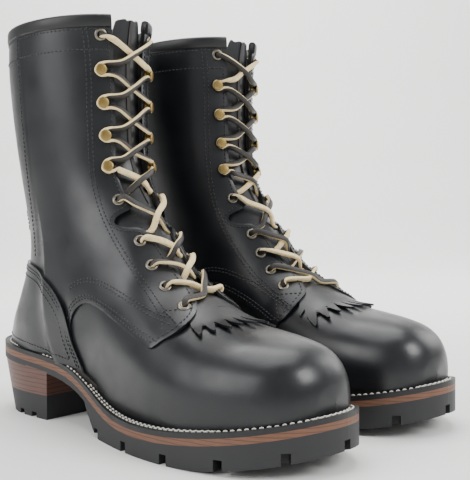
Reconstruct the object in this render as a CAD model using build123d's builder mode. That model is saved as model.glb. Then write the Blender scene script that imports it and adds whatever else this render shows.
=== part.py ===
"""A pair of ten-inch lace-up fire boots, modelled piece by piece.

The frame stands the pair on Z = 0 with the toes towards -Y and the wearer's right boot at -X.
Every piece is drawn once in the right boot's own frame (outside of the foot towards -X) and the
left boot is its mirror image.
"""
from build123d import *
import os
from math import cos, pi, radians, sin, sqrt, tan

os.makedirs("parts", exist_ok=True)

# ---------------------------------------------------------------- driving dimensions (mm)
BOOT_SPACING = 123.0          # between the two boots' centre lines
HEEL_END = 170.0              # rearmost point of the welt
TOE_END = -163.0              # foremost point of the welt
RIM_FRONT = 300.0             # height of the shaft's rim at the front
RIM_BACK = 296.0              # height of the shaft's rim at the back
SHAFT_WIDEN = 0.0             # added to every half width of the shaft
FOOT_WIDEN = 0.0              # added to every half width of the foot and the sole

LEATHER = 2.2                 # outer leather
LINING = 2.2                  # lining, stiffeners
TONGUE = 2.4                  # tongue leather
OVERLAY = 2.0                 # counter cover and backstay, laid over the outer leather
KILTIE = 1.6                  # fringed false tongue
BINDING = 1.4                 # rolled strip round the rim
BINDING_HEIGHT = 8.0
BACKSTAY_WIDTH = 18.0
TONGUE_WIDTH = 56.0           # behind the eyelets over the instep
TONGUE_TOP_WIDTH = 34.0       # behind the hooks
TONGUE_LOW = 80.0
TONGUE_FRONT = -72.0
TONGUE_RISE = 2.0             # above the rim
KILTIE_TOP = 143.0
FRINGE_ROOT_WIDTH = 33.0      # half width of the kiltie's fringed end at its fold
FRINGE_CENTRE = -22.0         # y of the point that the fringe's teeth spread from
FRINGE_NOTCH = 52.0           # from that point to the notches between the teeth
FRINGE_TIP = 68.0             # and to the tips
FRINGE_TEETH = 11
FRINGE_TOOTH = 7.0            # degrees from one tooth to the next
LOOP_TOP = 292.0              # pull loop
LOOP_MIDDLE = 276.0
LOOP_LOW = 257.0
LOOP_STRAP = 3.0
LOOP_WIDTH = 19.0

WELT = 3.5                    # storm welt
WELT_WIDTH = 15.0             # from the welt's edge to the filler
MIDSOLE = 4.5                 # leather midsole
RUBBER = 4.5                  # rubber through the arch and over the heel seat
INSOLE = 3.5
HEEL_LIFT = 18.5              # rubber heel lift
HEEL_BREAST = 88.0            # front face of the heel
HEEL_SLANT = 13.0             # how far the heel's back runs forward from top to bottom
LUG_DEPTH = 7.0
LUG_GAP = 6.0                 # width of the notches between edge lugs
LUG_REACH = 11.0              # how far the edge lugs run in
LUG_NOTCHES = 19
LUG_FIRST = 0.0               # first and last notch, as a share of the sole's outline
LUG_LAST = 1.0
TREAD_SINK = 6.0              # depth of the sunk middle of the tread
TREAD_BARS = [-20, -60, -100]
TOE_SPRING = 14.0             # height of the tread's tip above the floor
WAIST_START = 12.0            # rear end of the lugged forefoot
HEEL_GROOVE = 4.0
NAIL_START = 9.0
NAIL_LENGTH = 24.0
SHANK_LENGTH = 110.0
SHANK_MIDDLE = 52.0
SHANK_WIDTH = 14.0
SHANK_THICKNESS = 1.5
NAIL_DIAMETER = 2.4

LACE_DIAMETER = 3.2
LACE_OVER = 2.6               # height of the lace's middle over the leather
LACE_UNDER = -6.2             # and under the lining
LACE_MIDDLE = 1.2             # height where the two strands cross
LACE_PASS = 1.9               # how far each strand is from that height
TAIL_STEPS = [(12, 0), (11, 11), (3, 26), (1, 40), (2, 44), (0.5, 38)]   # inward, down
EYELET_OUTER = 4.6            # radius of an eyelet's flange
BARREL = 3.3                  # how far eyelet barrels and hook rivets reach into the leather
EYELET_HOLE = 2.3             # radius of an eyelet's hole
HOOK_HEAD = 4.4               # radius of a hook's domed head
HOOK_NECK = 1.7
HOOK_RISE = 4.4               # from the leather to the underside of the head
FRONT_GAP = 12.0              # half width of the opening between the eyestays
CLEARANCE = 0.4

# Lacing points of one row, from the lowest eyelet to the top one: distance from the boot's middle
# and height, on the outer (lateral) and the inner (medial) side.
LACE_X = [24.0, 22.0, 21.0, 20.0, 20.0, 20.0, 20.0, 21.0, 22.0, 23.0]
LACE_Z_OUTER = [93.0, 107.5, 121.5, 138.0, 167.0, 190.5, 213.5, 237.0, 261.0, 286.0]
LACE_Z_INNER = [98.0, 111.0, 124.0, 139.0, 168.0, 191.0, 213.5, 237.0, 261.0, 286.0]
HOOK_ROWS = [5, 6, 7, 8]      # rows with a hook, the others have an eyelet

# Side outline of the welt's top face (y, z), from the heel to the toe.
WELT_LINE = [(HEEL_END + 15, 57.5), (155, 54.5), (100, 49.5), (60, 43.0), (30, 32.6), (0, 23.4),
             (-40, 20.5), (-80, 23.0), (-120, 28.5), (TOE_END - 12, 40.0)]

# Plan of the welt, midsole and outsole (y, half width outside, half width inside).
SOLE_PLAN = [(-160, 16, 15), (-150, 32, 30), (-131, 47.5, 42), (-105, 57, 48.5), (-75, 61.5, 50),
             (-40, 60.5, 47), (0, 52, 39), (40, 41, 33.5), (75, 36.5, 34), (110, 37, 36),
             (138, 35, 34.5), (157, 26.5, 26.5)]

# Upright sections of the foot (y, half width outside, inside, height of the ridge, fullness).
FOOT_SECTIONS = [(-154, 12, 11, 50, 2.3), (-149, 24, 21, 60, 2.4), (-139, 36, 31, 69, 2.4),
                 (-122, 47, 40, 76.5, 2.4), (-100, 54, 44.5, 81, 2.3), (-75, 56.5, 46, 85.5, 2.2),
                 (-48, 55.5, 44.5, 98, 2.0), (-20, 51, 41, 121, 1.85), (10, 45, 37, 146, 1.8),
                 (38, 41, 34.5, 160, 1.8), (70, 38, 34, 166, 1.8)]

# Level sections of the shaft (z, back, front, half width).
SHAFT_SECTIONS = [(30, 162, 70, 30), (52, 165, 50, 33.5), (70, 161, 30, 36), (90, 151, 12, 37.5),
                  (112, 141, 4, 38), (135, 137.5, 5, 38.5), (160, 139.5, 15, 40), (190, 143.5, 26, 42.5),
                  (230, 149, 29, 45.5), (265, 152, 29.5, 47.5), (312, 149, 24, 49)]

FOOT_FLOOR = 8.0              # lower end of the foot sections, below the welt everywhere
SIDE_REACH = 110.0            # half depth of the prisms that cut the pieces out
FAR = 190.0                   # beyond the heel and the toe

THROAT = -58.0                # front end of the opening over the instep
GAP_LOW = 84.0                # below this height the opening between the eyestays ends
NOTCH_HEIGHT = 152.5          # rounded notch in each eyestay, between eyelets and hooks
NOTCH_RADIUS = 9.0
COUNTER_TOP = 120.0           # top of the counter cover at the back seam
STIFFENER_FRONT = -104.0      # rear edge of the toe stiffener

# Side outlines (y, z). The quarters overlap the vamp in life; here they meet it along one edge.
QUARTER_EDGE = [(THROAT, 400), (THROAT, 88), (-53, 76), (-43, 69), (-27, 75), (-9, 82), (10, 89),
                (28, 94), (42, 90), (52, 80), (56, 70), (50, 20)]
QUARTER_SIDE = QUARTER_EDGE + [(FAR, 20), (FAR, 400)]
VAMP_SIDE = QUARTER_EDGE + [(-FAR, 20), (-FAR, 400)]
COUNTER_SIDE = [(FAR, COUNTER_TOP), (140, COUNTER_TOP), (115, 118.5), (97, 115.5), (84, 110.5),
                (71, 103), (60, 92.5), (54.5, 84), (52.2, 75), (52.5, 66), (51, 56), (47, 46),
                (40, 32), (34, 20), (FAR, 20)]
COUNTER_INNER_SIDE = [(FAR, 107), (140, 107), (84, 86), (73, 60), (72, 20), (FAR, 20)]


# ---------------------------------------------------------------- forms
def foot_section(y, outer, inner, ridge, fullness, grow):
    """One upright section of the foot: a flat-bottomed arch."""
    outer = outer + FOOT_WIDEN + grow
    inner = inner + FOOT_WIDEN + grow
    ridge = ridge + grow
    hip = 0.45 * ridge + 3                      # height where the section is widest
    arch = []
    for step in range(1, 12):
        angle = pi * step / 12
        reach = abs(cos(angle)) ** (2 / fullness)
        height = hip + (ridge - hip) * abs(sin(angle)) ** (2 / fullness)
        arch.append((-outer * reach if step < 6 else inner * reach, height))
    with BuildSketch(Plane.XZ.offset(-y)) as section:
        with BuildLine():
            Spline([(-outer, hip)] + arch + [(inner, hip)], tangents=[(0, 1), (0, -1)])
            Line((inner, hip), (inner, FOOT_FLOOR))
            Line((inner, FOOT_FLOOR), (-outer, FOOT_FLOOR))
            Line((-outer, FOOT_FLOOR), (-outer, hip))
        make_face()
    return section.sketch


def shaft_section(z, back, front, half_width, grow):
    """One level section of the shaft: an oval."""
    with BuildSketch(Plane.XY.offset(z)) as section:
        with Locations((0, (back + front) / 2)):
            Ellipse(half_width + SHAFT_WIDEN + grow, (back - front) / 2 + grow)
    return section.sketch


def upper_form(grow):
    """The whole upper as a solid form, grown or shrunk from the leather's outer face."""
    with BuildPart() as form:
        for place, section in enumerate(FOOT_SECTIONS):
            y, outer, inner, ridge, fullness = section
            toe_shift = -grow if place < 3 else 0
            add(foot_section(y + toe_shift, outer, inner, ridge, fullness, grow))
        loft()
        for z, back, front, half_width in SHAFT_SECTIONS:
            add(shaft_section(z, back, front, half_width, grow))
        loft()
    return form.part


def side_prism(points):
    """A prism through the whole boot with a straight-sided side outline (y, z)."""
    with BuildPart() as prism:
        with BuildSketch(Plane.YZ):
            with BuildLine():
                Polyline(points, close=True)
            make_face()
        extrude(amount=SIDE_REACH, both=True)
    return prism.part


def rim_height(y, rise=0.0):
    """Height of the tilted rim plane."""
    return RIM_BACK + (150 - y) * (RIM_FRONT - RIM_BACK) / 130 + rise


def band(top, bottom):
    """A layer of the sole as a prism: between two copies of the welt line, moved up or down."""
    upper = [(y, z + top) for y, z in WELT_LINE]
    lower = [(y, z + bottom) for y, z in WELT_LINE]
    with BuildPart() as layer:
        with BuildSketch(Plane.YZ):
            with BuildLine():
                Spline(upper)
                Line(upper[-1], lower[-1])
                Spline(lower)
                Line(lower[0], upper[0])
            make_face()
        extrude(amount=SIDE_REACH, both=True)
    return layer.part


def upper_zone():
    """Everything between the welt and the rim."""
    with BuildPart() as zone:
        with BuildSketch(Plane.YZ):
            with BuildLine():
                Spline(WELT_LINE)
                Polyline([WELT_LINE[-1], (WELT_LINE[-1][0], rim_height(WELT_LINE[-1][0])),
                          (WELT_LINE[0][0], rim_height(WELT_LINE[0][0])), WELT_LINE[0]])
            make_face()
        extrude(amount=SIDE_REACH, both=True)
    return zone.part


def rim_band(rise, drop):
    """The slab between two planes parallel to the rim."""
    return side_prism([(-120, rim_height(-120, rise)), (210, rim_height(210, rise)),
                       (210, rim_height(210, -drop)), (-120, rim_height(-120, -drop))])


def front_prism(half_width, low, high, start, end, corner=0.0):
    """A prism along Y with a rectangular front outline, from y = start to y = end."""
    with BuildPart() as prism:
        with BuildSketch(Plane.XZ.offset(-start)):
            with Locations((0, (low + high) / 2)):
                Rectangle(2 * half_width, high - low)
            if corner:
                fillet(vertices().group_by(Axis.Z)[0], corner)
        extrude(amount=-(end - start))
    return prism.part


def sole_plan(inset=0.0, shift=0.0):
    """Plan of the sole as a closed smooth outline, drawn in from the edge by about the inset."""
    narrowing = 1 - inset / (55 + FOOT_WIDEN)
    shortening = 1 - 2 * inset / (HEEL_END - TOE_END)
    middle = (HEEL_END + TOE_END) / 2
    outer = [(-(wide + FOOT_WIDEN), y) for y, wide, narrow in SOLE_PLAN]
    inner = [(narrow + FOOT_WIDEN, y) for y, wide, narrow in SOLE_PLAN]
    outline = [(0, TOE_END)] + inner + [(0, HEEL_END)] + outer[::-1]
    outline = [(x * narrowing, middle + (y - middle) * shortening + shift) for x, y in outline]
    with BuildSketch() as plan:
        with BuildLine():
            Spline(outline, periodic=True)
        make_face()
    return plan.sketch


# ---------------------------------------------------------------- shared forms of the right boot
FORM = upper_form(0)                                     # outer face of the outer leather
FORM_OVERLAY = upper_form(OVERLAY)
FORM_INNER = upper_form(-LEATHER)                        # inner face of the outer leather
FORM_LINED = upper_form(-LEATHER - LINING)               # inner face of the lining
FORM_TONGUE = upper_form(-LEATHER - LINING - TONGUE)
UPPER_ZONE = upper_zone()

OUTER_LAYER = (FORM - FORM_INNER) & UPPER_ZONE
LINING_LAYER = (FORM_INNER - FORM_LINED) & UPPER_ZONE
OVERLAY_LAYER = (FORM_OVERLAY - FORM) & UPPER_ZONE

front_gap = front_prism(FRONT_GAP, GAP_LOW, 400, THROAT, 80, corner=6)


# ---------------------------------------------------------------- lacing points
def lacing_planes():
    """A plane on the leather at each lacing point, its Z axis pointing out of the leather."""
    rows = {}
    for side, heights in ((-1, LACE_Z_OUTER), (1, LACE_Z_INNER)):
        for row, (reach, height) in enumerate(zip(LACE_X, heights)):
            rows[side, row] = surface_plane(side * reach, height)
    return rows


def surface_plane(x, z):
    """The plane that touches the front of the upper at a given x and height."""
    hits = FORM.find_intersection_points(Axis((x, -300, z), (0, 1, 0)))
    point, normal = min(hits, key=lambda hit: hit[0].Y)
    if normal.Y > 0:
        normal = -normal
    return Plane(origin=point, x_dir=(0, 0, 1), z_dir=normal)


LACING = lacing_planes()
EYELET_PLACES = [plane for (side, row), plane in LACING.items() if row not in HOOK_ROWS]
HOOK_PLACES = [plane for (side, row), plane in LACING.items() if row in HOOK_ROWS]


def make_eyelets():
    """Rolled metal rings with a short barrel through both leathers."""
    with BuildPart() as eyelets:
        with BuildSketch(Plane.XZ) as profile:
            with BuildLine():
                Polyline([(EYELET_HOLE, -BARREL), (EYELET_HOLE, 0.8), (EYELET_HOLE + 0.8, 1.2),
                          (EYELET_OUTER - 0.6, 0.8), (EYELET_OUTER, 0), (EYELET_HOLE + 0.6, 0),
                          (EYELET_HOLE + 0.6, -BARREL)], close=True)
            make_face()
        ring = revolve(axis=Axis.Z, mode=Mode.PRIVATE)
        with Locations(*EYELET_PLACES):
            add(ring)
    return eyelets.part


def make_hooks():
    """Speed hooks: a base washer, a neck and a domed head, riveted through the leather."""
    with BuildPart() as hooks:
        with BuildSketch(Plane.XZ) as profile:
            with BuildLine():
                Polyline([(0, -BARREL), (0, HOOK_RISE + 2.2)])
                ThreePointArc((0, HOOK_RISE + 2.2), (HOOK_HEAD * 0.72, HOOK_RISE + 1.6),
                              (HOOK_HEAD, HOOK_RISE))
                Polyline([(HOOK_HEAD, HOOK_RISE), (HOOK_NECK, HOOK_RISE), (HOOK_NECK, 0.7), (3.8, 0.7),
                          (3.8, 0), (1.2, 0), (1.2, -BARREL), (0, -BARREL)])
            make_face()
        hook = revolve(axis=Axis.Z, mode=Mode.PRIVATE)
        with Locations(*HOOK_PLACES):
            add(hook)
    return hooks.part


def make_fastener_holes():
    """Holes for the eyelet barrels and the hook rivets, with the seats of their flanges."""
    with BuildPart() as holes:
        with Locations(*EYELET_PLACES):
            Cylinder(EYELET_HOLE + 0.6, 2 * (LEATHER + LINING + 2))
            Cylinder(EYELET_OUTER, 2, align=(Align.CENTER, Align.CENTER, Align.MIN))
        with Locations(*HOOK_PLACES):
            Cylinder(1.2, 2 * (LEATHER + LINING + 2))
            Cylinder(3.8, 2, align=(Align.CENTER, Align.CENTER, Align.MIN))
    return holes.part


FASTENER_HOLES = make_fastener_holes()


# ---------------------------------------------------------------- upper
def make_quarter(side):
    """One shaft half with its eyestay: side -1 is the outer one, 1 the inner one."""
    with BuildPart() as quarter:
        add(OUTER_LAYER)
        add(side_prism(QUARTER_SIDE), mode=Mode.INTERSECT)
        with BuildSketch(Plane.XY):
            with Locations((side * SIDE_REACH / 2, 0)):
                Rectangle(SIDE_REACH, 4 * FAR)
        extrude(amount=400, mode=Mode.INTERSECT)
        add(front_gap, mode=Mode.SUBTRACT)
        with BuildSketch(Plane.XZ.offset(-90)):
            with Locations((side * FRONT_GAP, NOTCH_HEIGHT)):
                Circle(NOTCH_RADIUS)
        extrude(amount=150, mode=Mode.SUBTRACT)
        add(FASTENER_HOLES, mode=Mode.SUBTRACT)
    return quarter.part


def make_vamp():
    """The seamless front of the foot, from the toe to the arch."""
    with BuildPart() as vamp:
        add(OUTER_LAYER)
        add(side_prism(VAMP_SIDE), mode=Mode.INTERSECT)
    return vamp.part


def make_toe_stiffener():
    """Hard cap inside the vamp's toe."""
    with BuildPart() as stiffener:
        add(LINING_LAYER)
        add(side_prism([(STIFFENER_FRONT, 0), (STIFFENER_FRONT, FAR), (-FAR, FAR), (-FAR, 0)]),
            mode=Mode.INTERSECT)
    return stiffener.part


def make_counter_stiffener():
    """Hard cup inside the heel."""
    with BuildPart() as stiffener:
        add(LINING_LAYER)
        add(side_prism(COUNTER_INNER_SIDE), mode=Mode.INTERSECT)
    return stiffener.part


def make_lining():
    """Soft lining of the shaft and of the middle of the foot."""
    with BuildPart() as lining:
        add(LINING_LAYER)
        add(side_prism([(STIFFENER_FRONT, 0), (STIFFENER_FRONT, 400), (FAR, 400), (FAR, 0)]),
            mode=Mode.INTERSECT)
        add(side_prism(COUNTER_INNER_SIDE), mode=Mode.SUBTRACT)
        add(front_gap, mode=Mode.SUBTRACT)
        for side in (-1, 1):
            with BuildSketch(Plane.XZ.offset(-90)):
                with Locations((side * FRONT_GAP, NOTCH_HEIGHT)):
                    Circle(NOTCH_RADIUS)
            extrude(amount=150, mode=Mode.SUBTRACT)
        add(FASTENER_HOLES, mode=Mode.SUBTRACT)
    return lining.part


def make_counter_cover():
    """Leather cover stitched over the heel."""
    with BuildPart() as cover:
        add(OVERLAY_LAYER)
        add(side_prism(COUNTER_SIDE), mode=Mode.INTERSECT)
    return cover.part


def make_backstay():
    """Strip that covers the back seam, from the counter cover to the rim binding."""
    with BuildPart() as backstay:
        add(OVERLAY_LAYER)
        add(front_prism(BACKSTAY_WIDTH / 2, COUNTER_TOP + 2 - 30, 400, 100, 200), mode=Mode.INTERSECT)
        add(side_prism(COUNTER_SIDE), mode=Mode.SUBTRACT)
        add(rim_band(20, BINDING_HEIGHT), mode=Mode.SUBTRACT)
    return backstay.part


def make_tongue():
    """Wide tongue behind the laces, from under the throat to just above the rim."""
    with BuildPart() as tongue:
        add(FORM_LINED)
        add(FORM_TONGUE, mode=Mode.SUBTRACT)
        add(front_prism(TONGUE_WIDTH / 2, TONGUE_LOW, RIM_FRONT + TONGUE_RISE, TONGUE_FRONT, 75),
            mode=Mode.INTERSECT)
        add(front_prism(60, 176, 400, TONGUE_FRONT, 75) - front_prism(TONGUE_TOP_WIDTH / 2, 176, 400,
                                                                       TONGUE_FRONT, 75),
            mode=Mode.SUBTRACT)
    return tongue.part


def make_top_binding():
    """Strip rolled over the rim, with a leaf outside, one inside and a bridge over the edge."""
    with BuildPart() as binding:
        add(upper_form(BINDING))
        add(upper_form(-LEATHER - LINING - BINDING), mode=Mode.SUBTRACT)
        add(rim_band(BINDING, BINDING_HEIGHT), mode=Mode.INTERSECT)
        add(FORM & rim_band(0, 40), mode=Mode.SUBTRACT)
        add(front_prism(TONGUE_TOP_WIDTH / 2 + 1, 200, 400, -60, 80), mode=Mode.SUBTRACT)
    return binding.part


def make_pull_loop():
    """Strap at the top of the back seam that a finger goes through."""
    with BuildPart() as loop:
        with BuildSketch(Plane.YZ):
            with BuildLine():
                ThreePointArc((146, LOOP_TOP), (HEEL_END - 4.5, LOOP_MIDDLE), (146, LOOP_LOW))
                Line((146, LOOP_LOW), (146, LOOP_LOW + 4))
                ThreePointArc((146, LOOP_LOW + 4), (HEEL_END - 4.5 - LOOP_STRAP, LOOP_MIDDLE),
                              (146, LOOP_TOP - 4))
                Line((146, LOOP_TOP - 4), (146, LOOP_TOP))
            make_face()
        extrude(amount=LOOP_WIDTH / 2, both=True)
        add(FORM_OVERLAY, mode=Mode.SUBTRACT)
    return loop.part


def make_kiltie():
    """Upper part of the false tongue, lying on the tongue between the eyestays."""
    with BuildPart() as kiltie:
        add(FORM_INNER)
        add(upper_form(-LEATHER - KILTIE), mode=Mode.SUBTRACT)
        add(front_prism(FRONT_GAP - CLEARANCE, GAP_LOW + 7, KILTIE_TOP, THROAT + CLEARANCE, 80),
            mode=Mode.INTERSECT)
    return kiltie.part


def fringe_point(degrees_aside, distance):
    """A point of the fringe's plan, measured from the centre that its teeth spread from."""
    angle = radians(degrees_aside)
    return (distance * sin(angle), FRINGE_CENTRE - distance * cos(angle))


def make_kiltie_flap():
    """Fringed end of the false tongue, lying on the vamp."""
    spread = FRINGE_TEETH * FRINGE_TOOTH / 2
    fringe = [(-FRINGE_ROOT_WIDTH, THROAT - CLEARANCE), fringe_point(-spread, FRINGE_NOTCH)]
    for place in range(FRINGE_TEETH):
        middle = -spread + (place + 0.5) * FRINGE_TOOTH
        tip = FRINGE_TIP - 5 * (middle / 35) ** 2
        fringe += [fringe_point(middle - 0.9, tip), fringe_point(middle + 0.9, tip),
                   fringe_point(middle + FRINGE_TOOTH / 2, FRINGE_NOTCH)]
    fringe += [(FRINGE_ROOT_WIDTH, THROAT - CLEARANCE)]
    with BuildPart() as flap:
        add(upper_form(CLEARANCE + KILTIE))
        add(upper_form(CLEARANCE), mode=Mode.SUBTRACT)
        with BuildSketch(Plane.XY.offset(60)):
            with BuildLine():
                Polyline(fringe, close=True)
            make_face()
        extrude(amount=80, mode=Mode.INTERSECT)
    return flap.part


# ---------------------------------------------------------------- sole
def make_insole():
    """Insole board that the foot stands on."""
    with BuildPart() as insole:
        add(FORM_LINED)
        add(band(INSOLE, 0), mode=Mode.INTERSECT)
    return insole.part


def make_welt():
    """Strip all round the boot that the upper and the sole are stitched to."""
    with BuildPart() as welt:
        add(sole_plan())
        extrude(amount=90)
        add(band(0, -WELT), mode=Mode.INTERSECT)
        add(sole_plan(WELT_WIDTH))
        extrude(amount=90, mode=Mode.SUBTRACT)
    return welt.part


def make_shank():
    """Steel strip that stiffens the arch, from the heel to the ball."""
    with BuildPart() as shank:
        with BuildSketch():
            with Locations((-2, SHANK_MIDDLE)):
                SlotOverall(SHANK_LENGTH, SHANK_WIDTH, rotation=90)
        extrude(amount=90)
        add(band(-1, -1 - SHANK_THICKNESS), mode=Mode.INTERSECT)
    return shank.part


def make_filler():
    """Cork that fills the hollow inside the welt, with a slot for the shank."""
    with BuildPart() as filler:
        add(sole_plan(WELT_WIDTH))
        extrude(amount=90)
        add(band(0, -WELT), mode=Mode.INTERSECT)
        add(make_shank(), mode=Mode.SUBTRACT)
    return filler.part


def make_midsole():
    """Leather midsole, the brown layer under the welt."""
    with BuildPart() as midsole:
        add(sole_plan())
        extrude(amount=90)
        add(band(-WELT, -WELT - MIDSOLE), mode=Mode.INTERSECT)
    return midsole.part


def make_outsole():
    """Rubber outsole: lugged under the forefoot, thin through the arch and over the heel seat."""
    top = -WELT - MIDSOLE
    arch = [(y, z + top - RUBBER) for y, z in WELT_LINE[:4]] + [(36, 22.5)]
    with BuildPart() as outsole:
        with BuildSketch(Plane.YZ):
            with BuildLine():
                Spline([(y, z + top) for y, z in WELT_LINE])
                Line((WELT_LINE[-1][0], WELT_LINE[-1][1] + top), (TOE_END - 12, TOE_SPRING + 5))
                Spline((TOE_END - 12, TOE_SPRING + 5), (-140, 8.5), (-118, 4.6), (-95, 1.3), (-72, 0),
                       tangents=[(1, -0.5), (1, 0)])
                Line((-72, 0), (WAIST_START, 0))
                Spline((WAIST_START, 0), (26, 9), (36, 22.5), tangents=[(1, 0.1), (0.5, 1)])
                Spline(arch[::-1])
                Line(arch[0], (WELT_LINE[0][0], WELT_LINE[0][1] + top))
            make_face()
        extrude(amount=SIDE_REACH, both=True)
        add(sole_plan())
        extrude(amount=90, mode=Mode.INTERSECT)
        add(make_tread(), mode=Mode.SUBTRACT)
    return outsole.part


def make_tread():
    """The hollows of the tread: notches between the edge lugs and the sunk middle."""
    outline = sole_plan().edges()[0]
    with BuildPart() as tread:
        for place in range(LUG_NOTCHES):
            spot = LUG_FIRST + (LUG_LAST - LUG_FIRST) * place / (LUG_NOTCHES - 1)
            point = outline @ spot
            along = outline % spot
            rise = toe_spring(point.Y)
            with Locations(Plane(origin=(point.X, point.Y, rise), x_dir=along, z_dir=(0, 0, 1))):
                Box(LUG_GAP, 2 * LUG_REACH, 2 * LUG_DEPTH)
        with BuildSketch():
            add(sole_plan(LUG_REACH + 1))
            with Locations((0, WAIST_START)):
                Rectangle(2 * SIDE_REACH, 24, align=(Align.CENTER, Align.MIN), mode=Mode.SUBTRACT)
            with Locations((0, WAIST_START - 12)):
                Rectangle(2 * SIDE_REACH, 400, align=(Align.CENTER, Align.MIN), mode=Mode.SUBTRACT)
            for y in TREAD_BARS:
                with Locations((-5, y)):
                    Rectangle(46, 11, mode=Mode.SUBTRACT)
                    Rectangle(13, 26, mode=Mode.SUBTRACT)
        extrude(amount=TREAD_SINK)
    return tread.part


def toe_spring(y):
    """Height of the tread's ground face above the floor."""
    return max(0.0, (-78 - y)) ** 1.45 * 0.0215 if y < -78 else 0.0


def heel_form():
    """The heel's outline, leaning forward from the heel seat down to the floor."""
    lean = HEEL_SLANT / 46
    with BuildPart() as heel:
        add(sole_plan(0, -HEEL_SLANT))
        extrude(amount=60 * sqrt(1 + lean ** 2), dir=(0, lean, 1))
        add(front_prism(80, -1, 80, HEEL_BREAST, FAR), mode=Mode.INTERSECT)
    return heel.part


def heel_nails():
    """Nails in a horseshoe, driven up through the lift into the stack."""
    with BuildPart() as nails:
        for turn in range(7):
            angle = radians(-15 + 35 * turn)
            with Locations((22 * cos(angle), 122 + 21 * sin(angle), NAIL_START)):
                Cylinder(NAIL_DIAMETER / 2, NAIL_LENGTH, align=(Align.CENTER, Align.CENTER, Align.MIN))
    return nails.part


def make_heel_stack():
    """Stacked leather of the heel, between the outsole and the rubber lift."""
    top = -WELT - MIDSOLE - RUBBER
    with BuildPart() as stack:
        add(heel_form())
        add(side_prism([(FAR, HEEL_LIFT), (60, HEEL_LIFT), (60, 80), (FAR, 80)]), mode=Mode.INTERSECT)
        add(band(top + 1, top - 60), mode=Mode.INTERSECT)
        add(make_outsole(), mode=Mode.SUBTRACT)
        add(heel_nails(), mode=Mode.SUBTRACT)
    return stack.part


def make_heel_lift():
    """Rubber heel lift with grooves round its edge."""
    with BuildPart() as lift:
        add(heel_form())
        add(side_prism([(FAR, 0), (60, 0), (60, HEEL_LIFT), (FAR, HEEL_LIFT)]), mode=Mode.INTERSECT)
        with Locations((0, 104, 0), (0, 121, 0)):
            Box(2 * SIDE_REACH, LUG_GAP, 2 * HEEL_GROOVE, mode=Mode.SUBTRACT)
        add(heel_nails(), mode=Mode.SUBTRACT)
    return lift.part


# ---------------------------------------------------------------- laces
def above(x, z, height):
    """A point at a given height over the leather's outer face, at the front of the boot."""
    plane = surface_plane(x, z)
    return plane.origin + plane.z_dir * height


def near_point(side, row, up, outward, height):
    """A point near a lacing point, measured along the leather and out of it."""
    plane = LACING[side, row]
    return plane.origin + plane.x_dir * up - plane.y_dir * side * outward + plane.z_dir * height


def row_height(side, row):
    return LACING[side, row].origin.Z


def strand(start):
    """One half of the lace, from the lowest eyelet of one side up to a top eyelet."""
    points = [near_point(start, 0, 0, 0, LACE_UNDER), near_point(start, 0, 0.5, 0, LACE_OVER)]
    side = start
    for row in range(1, len(LACE_X)):
        low = row_height(side, row - 1)
        high = row_height(-side, row)
        rise = high - low
        came_inside = row > 1 and row - 1 not in HOOK_ROWS
        if came_inside:
            points.append(above(side * (FRONT_GAP - 1.5), low + 0.2 * rise, LACE_UNDER + 1.2))
        else:
            points.append(above(side * (FRONT_GAP + 1), low + 0.22 * rise, LACE_OVER))
        points.append(above(0, low + 0.5 * rise, LACE_MIDDLE - start * LACE_PASS))
        side = -side
        points.append(above(side * (FRONT_GAP + 0.5), low + 0.8 * rise, LACE_OVER))
        if row in HOOK_ROWS:
            points += [near_point(side, row, -3.6, 1.5, HOOK_RISE / 2 + 0.35),
                       near_point(side, row, 0, 5.2, HOOK_RISE / 2 + 0.35),
                       near_point(side, row, 3.6, 1.5, HOOK_RISE / 2 + 0.35)]
        else:
            points += [near_point(side, row, -0.5, 0.4, LACE_OVER), near_point(side, row, 0, 0, LACE_UNDER)]
    return points


def bend_radii(points, largest):
    """The radius of the arc at each corner of a route: as large as its two runs allow."""
    radii = []
    for before, corner, after in zip(points, points[1:], points[2:]):
        turn = radians((corner - before).get_angle(after - corner))
        shorter = min((corner - before).length, (after - corner).length)
        radii.append(min(largest, 0.45 * shorter / tan(turn / 2)))
    return radii


def tube(points, largest):
    """A round cord along a route of straight runs joined by arcs."""
    radii = bend_radii(points, largest)
    with BuildPart() as cord:
        with BuildLine() as route:
            FilletPolyline(*points, radius=radii)
        with BuildSketch(Plane(origin=points[0], z_dir=points[1] - points[0])):
            Circle(LACE_DIAMETER / 2)
        sweep()
    expected = route.wire().length * pi * LACE_DIAMETER ** 2 / 4
    print("cord length", round(route.wire().length, 1), "volume over expected",
          round(cord.part.volume / expected, 3), "radii", [round(radius, 1) for radius in radii])
    return cord.part


def make_lace():
    """The lace from one top eyelet down to the lowest bar and up to the other top eyelet."""
    outer = strand(-1)
    inner = strand(1)
    middle = (row_height(-1, 0) + row_height(1, 0)) / 2
    bar = [above(-FRONT_GAP + 2.5, middle, -1.4), above(0, middle, 0.2), above(FRONT_GAP - 2.5, middle, -1.4)]
    return tube(outer[::-1] + bar + inner, 12)


def make_lace_tail(side):
    """The loose end of the lace, hanging inside the shaft from a top eyelet."""
    row = len(LACE_X) - 1
    start = near_point(side, row, 0, 0, LACE_UNDER)
    inward = -LACING[side, row].z_dir
    points = [start]
    for along, down in TAIL_STEPS:
        points.append(points[-1] + inward * along - Vector(0, 0, 1) * down)
    return tube(points, 200)


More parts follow.
